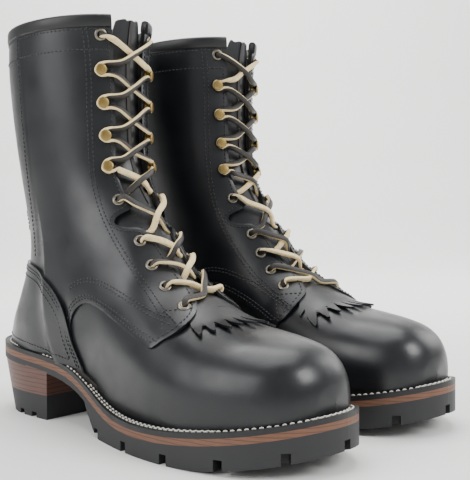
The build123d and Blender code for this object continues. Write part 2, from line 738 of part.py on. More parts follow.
# ---------------------------------------------------------------- both boots
MAKERS = {
    "quarter_outer": lambda: make_quarter(-1),
    "quarter_inner": lambda: make_quarter(1),
    "vamp": make_vamp,
    "toe_stiffener": make_toe_stiffener,
    "counter_stiffener": make_counter_stiffener,
    "lining": make_lining,
    "counter_cover": make_counter_cover,
    "backstay": make_backstay,
    "tongue": make_tongue,
    "top_binding": make_top_binding,
    "pull_loop": make_pull_loop,
    "kiltie": make_kiltie,
    "kiltie_fringe": make_kiltie_flap,
    "eyelets": make_eyelets,
    "hooks": make_hooks,
    "lace": make_lace,
    "lace_tail_outer": lambda: make_lace_tail(-1),
    "lace_tail_inner": lambda: make_lace_tail(1),
    "insole": make_insole,
    "welt": make_welt,
    "filler": make_filler,
    "shank": make_shank,
    "midsole": make_midsole,
    "outsole": make_outsole,
    "heel_stack": make_heel_stack,
    "heel_lift": make_heel_lift,
    "heel_nails": heel_nails,
}

MIDDLE_Y = (HEEL_END + TOE_END) / 2

for piece, maker in MAKERS.items():
    shape = maker()
    with BuildPart() as right_piece:
        with Locations((-BOOT_SPACING / 2, -MIDDLE_Y, 0)):
            add(shape)
    right_piece.part.label = "right_" + piece
    export_step(right_piece.part, "parts/right_" + piece + ".step")
    with BuildPart() as left_piece:
        add(right_piece.part)
        mirror(about=Plane.YZ, mode=Mode.REPLACE)
    left_piece.part.label = "left_" + piece
    export_step(left_piece.part, "parts/left_" + piece + ".step")
    print(piece, len(left_piece.part.solids()), round(left_piece.part.volume / 1000, 2))
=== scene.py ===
import math
from functools import lru_cache

import bpy
import numpy as np
from mathutils import Matrix, Vector
from mathutils.bvhtree import BVHTree


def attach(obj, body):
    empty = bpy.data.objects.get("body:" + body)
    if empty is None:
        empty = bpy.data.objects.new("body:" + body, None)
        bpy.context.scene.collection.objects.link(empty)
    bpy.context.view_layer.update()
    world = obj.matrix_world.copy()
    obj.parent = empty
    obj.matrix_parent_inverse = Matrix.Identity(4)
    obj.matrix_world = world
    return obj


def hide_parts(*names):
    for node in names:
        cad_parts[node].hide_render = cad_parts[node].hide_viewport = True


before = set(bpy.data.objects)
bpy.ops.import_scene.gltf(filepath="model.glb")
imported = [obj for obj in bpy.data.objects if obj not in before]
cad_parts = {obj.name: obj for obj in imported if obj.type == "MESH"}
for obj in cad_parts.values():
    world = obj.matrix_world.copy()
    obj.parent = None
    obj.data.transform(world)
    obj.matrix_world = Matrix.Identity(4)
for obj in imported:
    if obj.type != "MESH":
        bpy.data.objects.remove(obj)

bl_info = {
    "name": "Lace-up work boots",
    "version": (1, 0, 0),
    "blender": (4, 5, 0),
    "location": "3D View > Sidebar > Boots",
    "description": "Leather, laces, hardware, stitching and soles for a pair of ten-inch work boots",
    "category": "Object",
}

# ---------------------------------------------------------------- sizes of the last, in mm
# Each boot is drawn once, as the right one: outside is -X, the toe is -Y. The left is its mirror.
HALF_SPACING, SHIFT = 61.5, -3.5

# y, half width outside, half width inside, ridge height
FOOT = [(-154.5, 44.5, 40, 79.5), (-149, 45.5, 40.5, 79.5), (-139, 47, 41.2, 79.3), (-122, 49, 42, 79),
        (-100, 54, 44.8, 81.5), (-75, 56.5, 46, 86), (-48, 55.5, 44.5, 98), (-20, 51, 41, 121),
        (10, 45, 37, 146), (38, 39, 33.5, 160), (70, 34, 31, 166), (170, 34, 31, 166)]
# y, roundness of the foot's section: 2 is an ellipse, more is squarer
FULLNESS = [(-154.5, 2.35), (-122, 2.35), (-75, 2.2), (-48, 2.0), (-20, 1.85), (10, 1.8), (170, 1.8)]
# z, back, front, half width
SHAFT = [(30, 162, 70, 30), (52, 165, 50, 33.5), (70, 161, 30, 36), (90, 151, 12, 37.5), (112, 141, 4, 38),
         (135, 137.5, 5, 38.5), (160, 139.5, 15, 40), (190, 143.5, 26, 42.5), (230, 149, 29, 45.5),
         (265, 152, 29.5, 47.5), (312, 149, 24, 49)]
# y, height of the welt's top face
WELT = [(-175, 40.0), (-120, 28.5), (-80, 23.0), (-40, 20.5), (0, 23.4), (30, 32.6), (60, 43.0),
        (100, 49.5), (155, 54.5), (185, 57.5)]
# y, half width outside, half width inside, of the sole
PLAN = [(-163, 0, 0), (-160, 16, 15), (-150, 32, 30), (-131, 47.5, 42), (-105, 57, 48.5), (-75, 61.5, 50),
        (-40, 60.5, 47), (0, 52, 39), (40, 41, 33.5), (75, 36.5, 34), (110, 37, 36), (138, 35, 34.5),
        (157, 26.5, 26.5), (170, 0, 0)]
# back y, back z, front y, front z: each ring of points is drawn across one of these lines
SPINE = [(149, 295, 22, 301), (152, 265, 29.5, 266), (149, 230, 29, 232), (143.5, 190, 26, 195),
         (139.5, 160, 16, 168), (137.5, 135, 8, 150), (141, 112, 0, 140), (151, 90, -9, 130),
         (161, 70, -18, 122), (165, 52, -28, 115), (150, 38, -38, 106), (110, 30, -50, 98),
         (60, 20, -62, 91), (10, 10, -76, 86), (-40, 8, -92, 82), (-80, 8, -108, 79.5),
         (-112, 10, -124, 75), (-134, 14, -138, 67), (-147, 22, -149, 57), (-153.6, 38, -153.8, 46)]
# lacing points: distance from the centre line and height, lowest first
LACE_X = [24, 22, 21, 20, 20, 20, 20, 21, 22, 23]
LACE_Z = {-1: [93, 107.5, 121.5, 138, 167, 190.5, 213.5, 237, 261, 286],
          1: [98, 111, 124, 139, 168, 191, 213.5, 237, 261, 286]}
HOOKS = (5, 6, 7, 8)
TOP_ROW = 9
# front edge of the facings: height, distance from the centre line
GAP = {-1: [(60, 8), (97, 8.2), (104.5, 8.6), (118, 8.5), (135, 9.5), (151, 11.2), (165, 14), (174, 15),
            (213, 13.2), (261, 13.5), (303, 17.4)],
       1: [(60, 9), (105, 9.5), (135, 10.5), (151, 11.5), (165, 14), (174, 15), (213, 14), (261, 14),
           (303, 17)]}
# toe end of the facings, from above: distance from the centre line, y
FRONT_LINE = {-1: [(8, -27), (9.5, -40), (12.5, -48), (18, -54.5), (24, -58.5), (30.6, -60.3), (36, -59.6),
                   (40.5, -57.3), (46, -51.3), (50.3, -45), (58, -33)],
              1: [(8.5, -24), (9.5, -34), (11.5, -41), (14.5, -48), (17.9, -51.5), (25.6, -51.8),
                  (32.7, -50.3), (37.8, -46.6), (40.7, -39), (48, -25)]}
# lower edge of the quarters, from the side: y, z
LOWER_EDGE = {-1: [(-90, 52), (-45, 69), (-27, 75), (-9, 82), (10, 89), (20, 92.5), (28, 94.3), (36, 93.2),
                   (44, 88.5), (50, 81), (53, 70), (52, 58), (47, 47), (40, 36), (30, 10)],
              1: [(-84, 48), (-39, 68.5), (-25, 75.5), (-11, 82.3), (5, 89), (16, 92.7), (26, 94.4),
                  (36, 93.2), (44, 88.5), (50, 81), (53, 70), (52, 58), (47, 47), (40, 36), (30, 10)]}
COUNTER_EDGE = [(30, 10), (42, 37), (47.5, 47), (51, 56), (52.5, 66), (52.2, 75), (54.5, 84), (60, 92.5),
                (71, 103), (84, 110.5), (97, 115.5), (115, 118.5), (140, 120), (200, 120)]
# rounded notch in the facings: distance from the centre line, z
NOTCH = [(0, 165), (11, 164.5), (14, 162.5), (17, 159.5), (21.4, 157.6), (25.2, 154.8), (27.2, 151.4),
         (26.2, 148.4), (22, 147.1), (17.5, 147.6), (14.3, 146), (12, 143), (9, 141), (0, 140)]
# seam behind the facings, from the side: y, z
FACING_SEAM = {-1: [(42, 330), (42.3, 296), (42.3, 203), (40, 184), (33.7, 167), (25.6, 152.5), (8.1, 131.6),
                    (-12.6, 111.6), (-32.4, 96), (-40.5, 90)],
               1: [(42, 330), (42.3, 296), (42.6, 222), (41.9, 194), (35.2, 167), (20.9, 139.8), (-5, 109.1),
                   (-25, 96), (-34, 90.5)]}


# ---------------------------------------------------------------- the form of the last

def curve(points):
    """A smooth function through pairs of x and value."""
    xs, ys = np.array(points, float).T
    step = np.diff(xs)
    slope = np.diff(ys) / step
    middle = (slope[:-1] * step[1:] + slope[1:] * step[:-1]) / (step[1:] + step[:-1])
    tangent = np.concatenate([slope[:1], middle, slope[-1:]])

    def value(x):
        x = np.clip(np.asarray(x, float), xs[0], xs[-1])
        k = np.clip(np.searchsorted(xs, x) - 1, 0, len(xs) - 2)
        h = step[k]
        s = (x - xs[k]) / h
        return ((2 * s**3 - 3 * s**2 + 1) * ys[k] + (s**3 - 2 * s**2 + s) * h * tangent[k]
                + (3 * s**2 - 2 * s**3) * ys[k + 1] + (s**3 - s**2) * h * tangent[k + 1])
    return value


foot_outer = curve([(y, outer) for y, outer, inner, ridge in FOOT])
foot_inner = curve([(y, inner) for y, outer, inner, ridge in FOOT])
foot_ridge = curve([(y, ridge) for y, outer, inner, ridge in FOOT])
foot_fullness = curve(FULLNESS)
shaft_back = curve([(z, back) for z, back, front, half in SHAFT])
shaft_front = curve([(z, front) for z, back, front, half in SHAFT])
shaft_half = curve([(z, half) for z, back, front, half in SHAFT])
welt_top = curve(WELT)
plan_outer = curve([(y, outer) for y, outer, inner in PLAN])
plan_inner = curve([(y, inner) for y, outer, inner in PLAN])
# y where the toe starts to round and where it ends, y of the foot's back end, and how far the foot and
# the shaft run into each other
TOE_START, TOE_TIP, FOOT_END, INSTEP_BLEND = -104.0, -154.5, 72.0, 26.0
# the leather at the sole stands this far inside the sole's edge
WELT_LEDGE = 6.5


def form(p):
    """Distance in mm from the outer face of the leather, negative inside the boot."""
    x, y, z = p[..., 0], p[..., 1], p[..., 2]
    ridge = foot_ridge(y)
    toe = np.clip((TOE_START - y) / (TOE_START - TOE_TIP), 0, 1)
    taper = np.clip(1 - toe**2.5, 1e-4, 1) ** (1 / 2.5)
    hip = 0.45 * ridge + 3
    wide = np.where(x < 0, foot_outer(y), foot_inner(y)) * taper
    tall = (ridge - hip) * np.clip(1 - toe**2.6, 1e-4, 1) ** (1 / 2.6)
    tuck = np.clip((np.minimum(hip, welt_top(y) + 26) - z) / 26, 0, 1.1)
    side = np.maximum(wide - 2.6 * tuck**2 * (0.35 + 0.65 * taper), 0.5)
    sole = np.where(x < 0, plan_outer(y), plan_inner(y)) - WELT_LEDGE
    side = side - ease(hip - z, 0, 32) * np.maximum(side - np.maximum(sole, 0.5), 0)
    rise = np.clip(z - hip, 0, None) / np.maximum(tall, 0.5)
    power = foot_fullness(y)
    foot = ((np.abs(x) / side) ** power + rise**power) ** (1 / power) - 1
    foot = np.maximum(foot * np.minimum(side, 40), np.maximum(TOE_TIP - y, y - FOOT_END))
    middle = (shaft_back(z) + shaft_front(z)) / 2
    reach = (shaft_back(z) - shaft_front(z)) / 2
    half = shaft_half(z)
    shaft = (np.sqrt((x / half) ** 2 + ((y - middle) / reach) ** 2) - 1) * half
    near = np.clip(INSTEP_BLEND - np.abs(foot - shaft), 0, None) / INSTEP_BLEND
    return np.minimum(foot, shaft) - near**2 * INSTEP_BLEND / 4


def reach_form(start, direction, far=190.0):
    """Where lines from inside points leave the form."""
    low = np.zeros(start.shape[:-1])
    high = np.full(start.shape[:-1], far)
    for _ in range(32):
        middle = (low + high) / 2
        inside = form(start + direction * middle[..., None]) < 0
        low = np.where(inside, middle, low)
        high = np.where(inside, high, middle)
    return start + direction * low[..., None]


def facing_out(p):
    """Unit normals of the form at points on it."""
    step = np.eye(3) * 0.4
    slope = np.stack([form(p + step[k]) - form(p - step[k]) for k in range(3)], -1)
    return slope / np.maximum(np.linalg.norm(slope, axis=-1, keepdims=True), 1e-9)


def rim_height(y):
    """Height of the top edge, which is a little lower behind."""
    return 296 + (150 - y) * 4 / 130


def ease(value, start, end):
    """Smooth step from 0 at start to 1 at end."""
    s = np.clip((value - start) / (end - start), 0, 1)
    return s * s * (3 - 2 * s)


# rings of the skin, and points round each
RINGS, ROUND = 220, 184


@lru_cache(maxsize=None)
def skin():
    """Rings of points all over the form, with their normals."""
    lines = np.array(SPINE, float)
    steps = np.linalg.norm(np.diff(lines[:, :2], axis=0), axis=1) + np.linalg.norm(
        np.diff(lines[:, 2:], axis=0), axis=1)
    along = np.concatenate([[0], np.cumsum(steps)])
    at = np.linspace(0, along[-1], RINGS)
    back_y, back_z, front_y, front_z = [curve(list(zip(along, lines[:, k])))(at) for k in range(4)]
    turn = np.arange(ROUND) * 2 * math.pi / ROUND
    line = np.stack([front_y - back_y, front_z - back_z], -1)
    line /= np.linalg.norm(line, axis=1, keepdims=True)
    direction = np.stack([np.broadcast_to(np.sin(turn), (RINGS, ROUND)),
                          np.cos(turn) * line[:, :1], np.cos(turn) * line[:, 1:]], -1)
    start = np.stack([np.zeros(RINGS), (back_y + front_y) / 2, (back_z + front_z) / 2], -1)
    start = np.broadcast_to(start[:, None, :], direction.shape)
    points = reach_form(start, direction)
    tip = np.array([0.0, TOE_TIP, 42.0])
    points[-1] = tip + (points[-2] - tip) * 0.01
    return points.reshape(-1, 3), facing_out(points).reshape(-1, 3)


def quads():
    """Corner numbers of the squares between the rings."""
    ring, step = np.meshgrid(np.arange(RINGS - 1), np.arange(ROUND), indexing="ij")
    ahead = (step + 1) % ROUND
    return np.stack([ring * ROUND + step, ring * ROUND + ahead, (ring + 1) * ROUND + ahead,
                     (ring + 1) * ROUND + step], -1).reshape(-1, 4)


def within(outline, u, v):
    """Distance inside a closed outline, negative outside it."""
    a = np.array(outline, float)
    b = np.roll(a, -1, axis=0)
    edge = b - a
    away = np.stack([u, v], -1)[..., None, :] - a
    t = np.clip((away * edge).sum(-1) / (edge * edge).sum(-1), 0, 1)
    gap = np.linalg.norm(away - t[..., None] * edge, axis=-1).min(-1)
    rise = np.where(edge[:, 1] == 0, 1e-9, edge[:, 1])
    spans = (a[:, 1] > v[..., None]) != (b[:, 1] > v[..., None])
    meets = a[:, 0] + (v[..., None] - a[:, 1]) / rise * edge[:, 0]
    odd = (spans & (u[..., None] < meets)).sum(-1) % 2
    return np.where(odd == 1, gap, -gap)


def softened(points, rounds=2):
    """The same open line with its corners cut."""
    line = np.array(points, float)
    for _ in range(rounds):
        near = line[:-1] * 0.75 + line[1:] * 0.25
        far = line[:-1] * 0.25 + line[1:] * 0.75
        line = np.concatenate([line[:1], np.stack([near, far], 1).reshape(-1, line.shape[1]), line[-1:]])
    return line


def above_line(points, u, v, top):
    """Distance above an open line, closed far above it at the given height."""
    line = softened(points)
    closing = [(line[-1][0] + 200, line[-1][1]), (line[-1][0] + 200, top), (line[0][0] - 200, top),
               (line[0][0] - 200, line[0][1])]
    return within(np.concatenate([line, closing]), u, v)


# ---------------------------------------------------------------- cutting panels from the form

def cut(field):
    """Faces of the part of the skin where field is positive, cut along its edge.

    Gives points, normals and faces; each point is mixed from two skin points."""
    points, normals = skin()
    field = np.where(np.abs(field) < 0.22, 0.0, field)
    every = quads()
    keep = field[every] >= 0
    whole = every[keep.all(1)]
    partly = every[keep.any(1) & ~keep.all(1)]
    faces = [tuple(q) for q in whole.tolist()]
    crossings = {}
    first, second, mix = [], [], []
    for q in partly.tolist():
        ring = []
        for k in range(4):
            a, b = q[k], q[(k + 1) % 4]
            if field[a] >= 0:
                ring.append(a)
            if (field[a] >= 0) != (field[b] >= 0) and field[a] != 0 and field[b] != 0:
                key = (a, b) if a < b else (b, a)
                if key not in crossings:
                    crossings[key] = len(points) + len(first)
                    first.append(key[0])
                    second.append(key[1])
                    mix.append(field[key[0]] / (field[key[0]] - field[key[1]]))
                ring.append(crossings[key])
        if len(set(ring)) > 2:
            faces.append(tuple(ring))
    count = len(points)
    source_a = np.concatenate([np.arange(count), np.array(first, int)])
    source_b = np.concatenate([np.arange(count), np.array(second, int)])
    weight = np.concatenate([np.zeros(count), np.array(mix, float)])[:, None]
    used = np.zeros(len(source_a), bool)
    for f in faces:
        used[list(f)] = True
    number = np.cumsum(used) - 1
    source_a, source_b, weight = source_a[used], source_b[used], weight[used]
    faces = [tuple(int(number[k]) for k in f) for f in faces]
    where = points[source_a] * (1 - weight) + points[source_b] * weight
    out = normals[source_a] * (1 - weight) + normals[source_b] * weight
    out /= np.linalg.norm(out, axis=1, keepdims=True)
    return where, out, faces


def open_edges(faces):
    """Edges that belong to one face only, in the direction that face has them."""
    seen = {}
    for f in faces:
        for a, b in zip(f, f[1:] + f[:1]):
            if (b, a) in seen:
                del seen[(b, a)]
            else:
                seen[(a, b)] = True
    return list(seen)


def shell(where, out, faces, height, thickness):
    """A panel with a real thickness: its outer face at height above the form, and closed edges."""
    height = np.broadcast_to(height, len(where))[:, None]
    count = len(where)
    points = np.concatenate([where + out * height, where + out * (height - thickness)])
    inner = [tuple(k + count for k in reversed(f)) for f in faces]
    rims = [(b, a, a + count, b + count) for a, b in open_edges(faces)]
    return points, faces + inner + rims


def line_gap(points, lines):
    """Distance of each point from the nearest of some lines of points."""
    best = np.full(len(points), 1e9)
    for line in lines:
        a, b = line[:-1], line[1:]
        for k in range(0, len(a), 60):
            start, edge = a[k:k + 60], b[k:k + 60] - a[k:k + 60]
            away = points[:, None, :] - start
            t = np.clip((away * edge).sum(-1) / np.maximum((edge * edge).sum(-1), 1e-9), 0, 1)
            best = np.minimum(best, np.linalg.norm(away - t[..., None] * edge, axis=-1).min(1))
    return best


def level_lines(field, level, region=None):
    """Lines over the skin where field has one value, as chains of points with normals."""
    points, normals = skin()
    value = field - level
    ends = {}
    where = {}
    for q in quads()[(np.sign(value[quads()]).min(1) < 0) & (np.sign(value[quads()]).max(1) >= 0)].tolist():
        found = []
        for k in range(4):
            a, b = sorted((q[k], q[(k + 1) % 4]))
            if (value[a] < 0) != (value[b] < 0):
                t = value[a] / (value[a] - value[b])
                where[(a, b)] = (points[a] * (1 - t) + points[b] * t, normals[a] * (1 - t) + normals[b] * t)
                found.append((a, b))
        if len(found) == 2:
            ends.setdefault(found[0], []).append(found[1])
            ends.setdefault(found[1], []).append(found[0])
    chains = []
    unused = set(ends)
    for start in sorted(ends, key=lambda e: (len(ends[e]), e)):
        if start not in unused:
            continue
        chain = [start]
        unused.discard(start)
        while True:
            ahead = [e for e in ends[chain[-1]] if e in unused]
            if not ahead:
                break
            chain.append(ahead[0])
            unused.discard(ahead[0])
        if len(chain) > 3:
            line = np.array([np.concatenate(where[e]) for e in chain])
            if chain[0] in ends[chain[-1]] and len(chain) > 8:
                line = np.concatenate([line, line[:1]])
            chains.append(line)
    if region is None:
        return chains
    parts = []
    for line in chains:
        good = region(line[:, :3])
        start = None
        for k in range(len(line) + 1):
            if k < len(line) and good[k]:
                start = k if start is None else start
            elif start is not None:
                if k - start > 3:
                    parts.append(line[start:k])
                start = None
    return parts


def evenly(line, step):
    """The same line with points at an even distance, smoothed a little."""
    for _ in range(2):
        line = np.concatenate([line[:1], (line[:-2] + 2 * line[1:-1] + line[2:]) / 4, line[-1:]])
    run = np.concatenate([[0], np.cumsum(np.linalg.norm(np.diff(line[:, :3], axis=0), axis=1))])
    count = max(int(run[-1] / step), 1)
    at = np.linspace(0, run[-1], count + 1)
    return np.stack([np.interp(at, run, line[:, k]) for k in range(line.shape[1])], -1)


# ---------------------------------------------------------------- fields: how far inside each panel

def quarter_field(p, side):
    """How far inside a quarter: one side of the boot from the facing back to the heel."""
    x, y, z = np.abs(p[:, 0]), p[:, 1], p[:, 2]
    gap = x - curve(GAP[side])(z)
    line = softened(FRONT_LINE[side])
    closed = np.concatenate([line, [(200, line[-1][1]), (200, 300), (line[0][0], 300)]])
    toe = within(closed, x, y)
    lower = above_line(LOWER_EDGE[side], y, z, 400)
    notch = -within(softened(NOTCH, 1), x, z)
    field = np.minimum(np.minimum(gap, lower), np.minimum(notch, rim_height(y) - 0.8 - z))
    field = np.minimum(field, z - welt_top(y) + 1.5)
    field = np.where(z < 130, np.minimum(field, toe), field)
    return np.minimum(field, side * p[:, 0] + 0.3)


def quarter_height(p, side):
    """How far a quarter stands proud: it lies on the vamp near its lower edge and its toe end."""
    x, y, z = np.abs(p[:, 0]), p[:, 1], p[:, 2]
    lower = above_line(LOWER_EDGE[side], y, z, 400)
    raised = 2.1 * (1 - ease(lower, 6, 30)) * (1 - ease(y, 44, 62))
    front = curve(FRONT_LINE[side])(np.clip(x, FRONT_LINE[side][0][0], FRONT_LINE[side][-1][0]))
    ahead = (1 - ease(y - front, 8, 34)) * (1 - ease(z, 100, 125))
    return np.maximum(raised, 3.7 * ahead * (1 - 0.43 * ease(x, 34, 44)))


def counter_field(p):
    """How far inside the cover over the heel."""
    return np.minimum(-above_line(COUNTER_EDGE, p[:, 1], p[:, 2], 400), p[:, 2] - welt_top(p[:, 1]) + 4)


def vamp_field(p):
    """How far inside the vamp, which runs from the toe to under the quarters."""
    side = [(-200, -50), (58, -50), (58, 86), (45, 100), (28, 106), (10, 102), (-10, 96), (-30, 91),
            (-41, 98), (-42, 140), (-200, 140)]
    return np.minimum(within(side, p[:, 1], p[:, 2]), p[:, 2] - welt_top(p[:, 1]) + 4)


def tongue_field(p):
    """How far inside the tongue, which fills the gap between the facings."""
    x, y, z = np.abs(p[:, 0]), p[:, 1], p[:, 2]
    width = curve([(60, 40), (100, 34), (130, 30), (170, 30), (240, 25), (275, 18), (303, 10)])(z)
    top = 298 + 0.6 * np.sin(p[:, 0] * 0.8) + 0.4 * np.sin(p[:, 0] * 1.3 + 1) - z
    return np.minimum(np.minimum(np.minimum(width - x, top), np.minimum(60 - y, y + 62)), z - SOLE_CLEAR)


FRINGE_CENTRE, FRINGE_SPREAD, FRINGE_STEP = (0.0, -22.0), 38.2, 8.5
FOLD_LINE = -58.4
# the tongue and the kiltie stay above this height
SOLE_CLEAR = 55.0


def fringe_field(p):
    """How far inside the fringed end of the kiltie, in front of its fold line."""
    dx, dy = p[:, 0] - FRINGE_CENTRE[0], FRINGE_CENTRE[1] - p[:, 1]
    turn = np.degrees(np.arctan2(dx, np.maximum(dy, 1e-6)))
    radius = np.hypot(dx, dy)
    tooth = turn / FRINGE_STEP
    saw = np.abs(tooth - np.round(tooth)) * 2
    tip = 69 - 5.0 * (turn / 35) ** 2 + 1.5 * np.sin(np.round(tooth) * 2.3)
    root = 51.5 - 1.0 * np.cos(np.radians(turn * 4))
    edge = (root - 1.5 + (tip - root + 2.5) * (1 - saw) ** 0.9 - radius) * 0.24
    spread = np.minimum(FRINGE_SPREAD - np.abs(turn), p[:, 2] - SOLE_CLEAR)
    return np.minimum(np.minimum(edge, spread), FOLD_LINE - p[:, 1] + 0.3)


def kiltie_field(p):
    """How far inside the plain part of the kiltie, from under the laces to its fold line."""
    x, y, z = np.abs(p[:, 0]), p[:, 1], p[:, 2]
    width = curve([(-60, 37), (-54, 29), (-47, 20), (-38, 14.5), (-25, 11.5), (10, 10)])(y)
    return np.minimum(np.minimum(width - x, np.minimum(143 - z, z - SOLE_CLEAR)), y - FOLD_LINE + 0.3)


def kiltie_height(p):
    """Height of the kiltie: on the tongue behind, over the vamp in front."""
    return -2.6 + 4.3 * (1 - ease(p[:, 1], -50, -34))


# ---------------------------------------------------------------- setting pieces in the frame

def place(points, side):
    """Points of the right boot in mm, set in the frame in metres as part of one boot."""
    hand = 1 if side == "right" else -1
    return (np.array(points, float) * (hand, 1, 1) + (-hand * HALF_SPACING, SHIFT, 0)) / 1000


def make_pair(name, points, faces, slot, materials, nodes=(), body="boot", kinds=None, crease=38.0):
    """The same piece for both boots, each riding on its body and standing for its nodes."""
    made = []
    for side in ("right", "left"):
        mesh = bpy.data.meshes.new(f"{side}_{name}")
        order = faces if side == "right" else [f[::-1] for f in faces]
        mesh.from_pydata(place(points, side).tolist(), [], order)
        for material in materials:
            mesh.materials.append(material)
        if kinds is not None:
            mesh.polygons.foreach_set("material_index", kinds)
        mesh.polygons.foreach_set("use_smooth", [True] * len(mesh.polygons))
        mesh.set_sharp_from_angle(angle=math.radians(crease))
        mesh.validate()
        piece = bpy.data.objects.new(f"{side}_{name}", mesh)
        bpy.context.scene.collection.objects.link(piece)
        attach(piece, f"{side}_{body}")
        if nodes:
            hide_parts(*[f"{side}_{node}" for node in nodes])
        made.append(piece)
    return made


def tube_faces(rows, ring, closed_ends=True, loop=False):
    """Faces joining rows of points round a closed section."""
    faces = []
    for r in range(rows if loop else rows - 1):
        for k in range(ring):
            a, b = r * ring + k, r * ring + (k + 1) % ring
            c, d = (b + ring) % (rows * ring), (a + ring) % (rows * ring)
            faces.append((a, b, c, d))
    if closed_ends and not loop:
        faces.append(tuple(range(ring))[::-1])
        faces.append(tuple(range((rows - 1) * ring, rows * ring)))
    return faces


def on_form(x, z):
    """The point of the form's front at a distance from the centre line and a height."""
    start = np.array([[x, 70.0 if z > 110 else 20.0, z]])
    return reach_form(start, np.array([[0.0, -1.0, 0.0]]))[0]


@lru_cache(maxsize=None)
def lacing(side, row):
    """Centre of an eyelet or hook on the facing, and the way it points."""
    point = on_form(side * LACE_X[row], LACE_Z[side][row])
    out = facing_out(point[None])[0]
    return point + out * quarter_height(point[None], side)[0], out


# ---------------------------------------------------------------- sizes and colours

def srgb(code):
    """Scene colour of a six-figure hex code."""
    parts = [int(code[k:k + 2], 16) / 255 for k in (0, 2, 4)]
    return tuple(c / 12.92 if c <= 0.04045 else ((c + 0.055) / 1.055) ** 2.4 for c in parts)


def size(name, description, default):
    """A length in metres that a user may change."""
    return bpy.props.FloatProperty(name=name, description=description, default=default, min=0.0,
                                   unit="LENGTH", precision=5)


def colour(name, description, code):
    """A colour that a user may change."""
    return bpy.props.FloatVectorProperty(name=name, description=description, subtype="COLOR", size=3,
                                         min=0.0, max=1.0, default=srgb(code))


class BootSizes(bpy.types.PropertyGroup):
    """Sizes of the finished pieces."""
    upper: size("Upper leather", "Thickness of the upper's panels", 0.0022)
    pitch: size("Stitch pitch", "Distance from one stitch of the upper to the next", 0.0033)
    thread: size("Thread radius", "Radius of the upper's thread", 0.00048)
    welt_pitch: size("Welt stitch pitch", "Distance from one welt stitch to the next", 0.0046)
    welt_thread: size("Welt thread radius", "Radius of the welt's waxed thread", 0.00062)
    lace_width: size("Lace width", "Width of the rawhide lace", 0.0042)
    lace_thickness: size("Lace thickness", "Thickness of the rawhide lace", 0.0027)
    eyelet: size("Eyelet radius", "Radius of an eyelet's rolled flange", 0.0046)
    hook: size("Hook radius", "Radius of a lacing hook's domed head", 0.0041)


class BootColours(bpy.types.PropertyGroup):
    """Colours of the leathers, metals, threads and rubber."""
    upper: colour("Upper", "Dyed face of the upper leather", "101216")
    edge: colour("Cut edge", "Dyed cut edges and rough faces of the leather", "0E0F11")
    thread: colour("Thread", "Waxed thread of the upper", "0E1016")
    welt_thread: colour("Welt thread", "Natural linen thread of the welt", "D9D6CC")
    lace_face: colour("Lace face", "Grain face of the rawhide lace", "2A2724")
    lace_side: colour("Lace core", "Raw sides and back of the lace", "E6CF9E")
    brass: colour("Hooks", "Aged brass of the lacing hooks", "96804F")
    nickel: colour("Eyelets", "Antique nickel of the eyelets", "7F7A70")
    midsole: colour("Midsole", "Edge of the leather midsole", "6A4632")
    stack: colour("Heel stack", "Stacked leather of the heel", "55352A")
    rubber: colour("Rubber", "Lugged outsole and heel lift", "1D1E20")
    lining: colour("Lining", "Lining leather inside the shaft", "2B2724")
    floor: colour("Floor", "Pale floor under the boots", "F2F2F0")


# ---------------------------------------------------------------- materials

# a wave texture's scale for bands one metre apart
BAND = 0.31415


def add(tree, kind, inputs=(), **settings):
    """A node with its settings; each input is a value, or another node's output to link."""
    node = tree.nodes.new(kind)
    for key, value in settings.items():
        setattr(node, key, value)
    for key, value in dict(inputs).items():
        if isinstance(value, bpy.types.NodeSocket):
            tree.links.new(value, node.inputs[key])
        else:
            node.inputs[key].default_value = value
    return node


def start_material(name, **values):
    """A new material with uniform values on its shader; gives material, tree, shader and place."""
    material = bpy.data.materials.new(name)
    material.use_nodes = True
    tree = material.node_tree
    shader = tree.nodes["Principled BSDF"]
    for key, value in values.items():
        socket = shader.inputs[key.replace("_", " ")]
        socket.default_value = (*value, 1.0) if key == "Base_Color" else value
    where = add(tree, "ShaderNodeTexCoord").outputs["Object"]
    return material, tree, shader, where


def mottle(tree, where, tint, depth, feature):
    """A colour that drifts lighter and darker over patches of one size in metres."""
    patches = add(tree, "ShaderNodeTexNoise", {"Vector": where, "Scale": 1 / feature, "Detail": 4.0,
                                               "Roughness": 0.6})
    dark = tuple(c * (1 - depth) for c in tint)
    light = tuple(min(c * (1 + depth), 1.0) for c in tint)
    return add(tree, "ShaderNodeMix", {"Factor": patches.outputs["Fac"], "A": (*dark, 1), "B": (*light, 1)},
               data_type="RGBA").outputs["Result"]


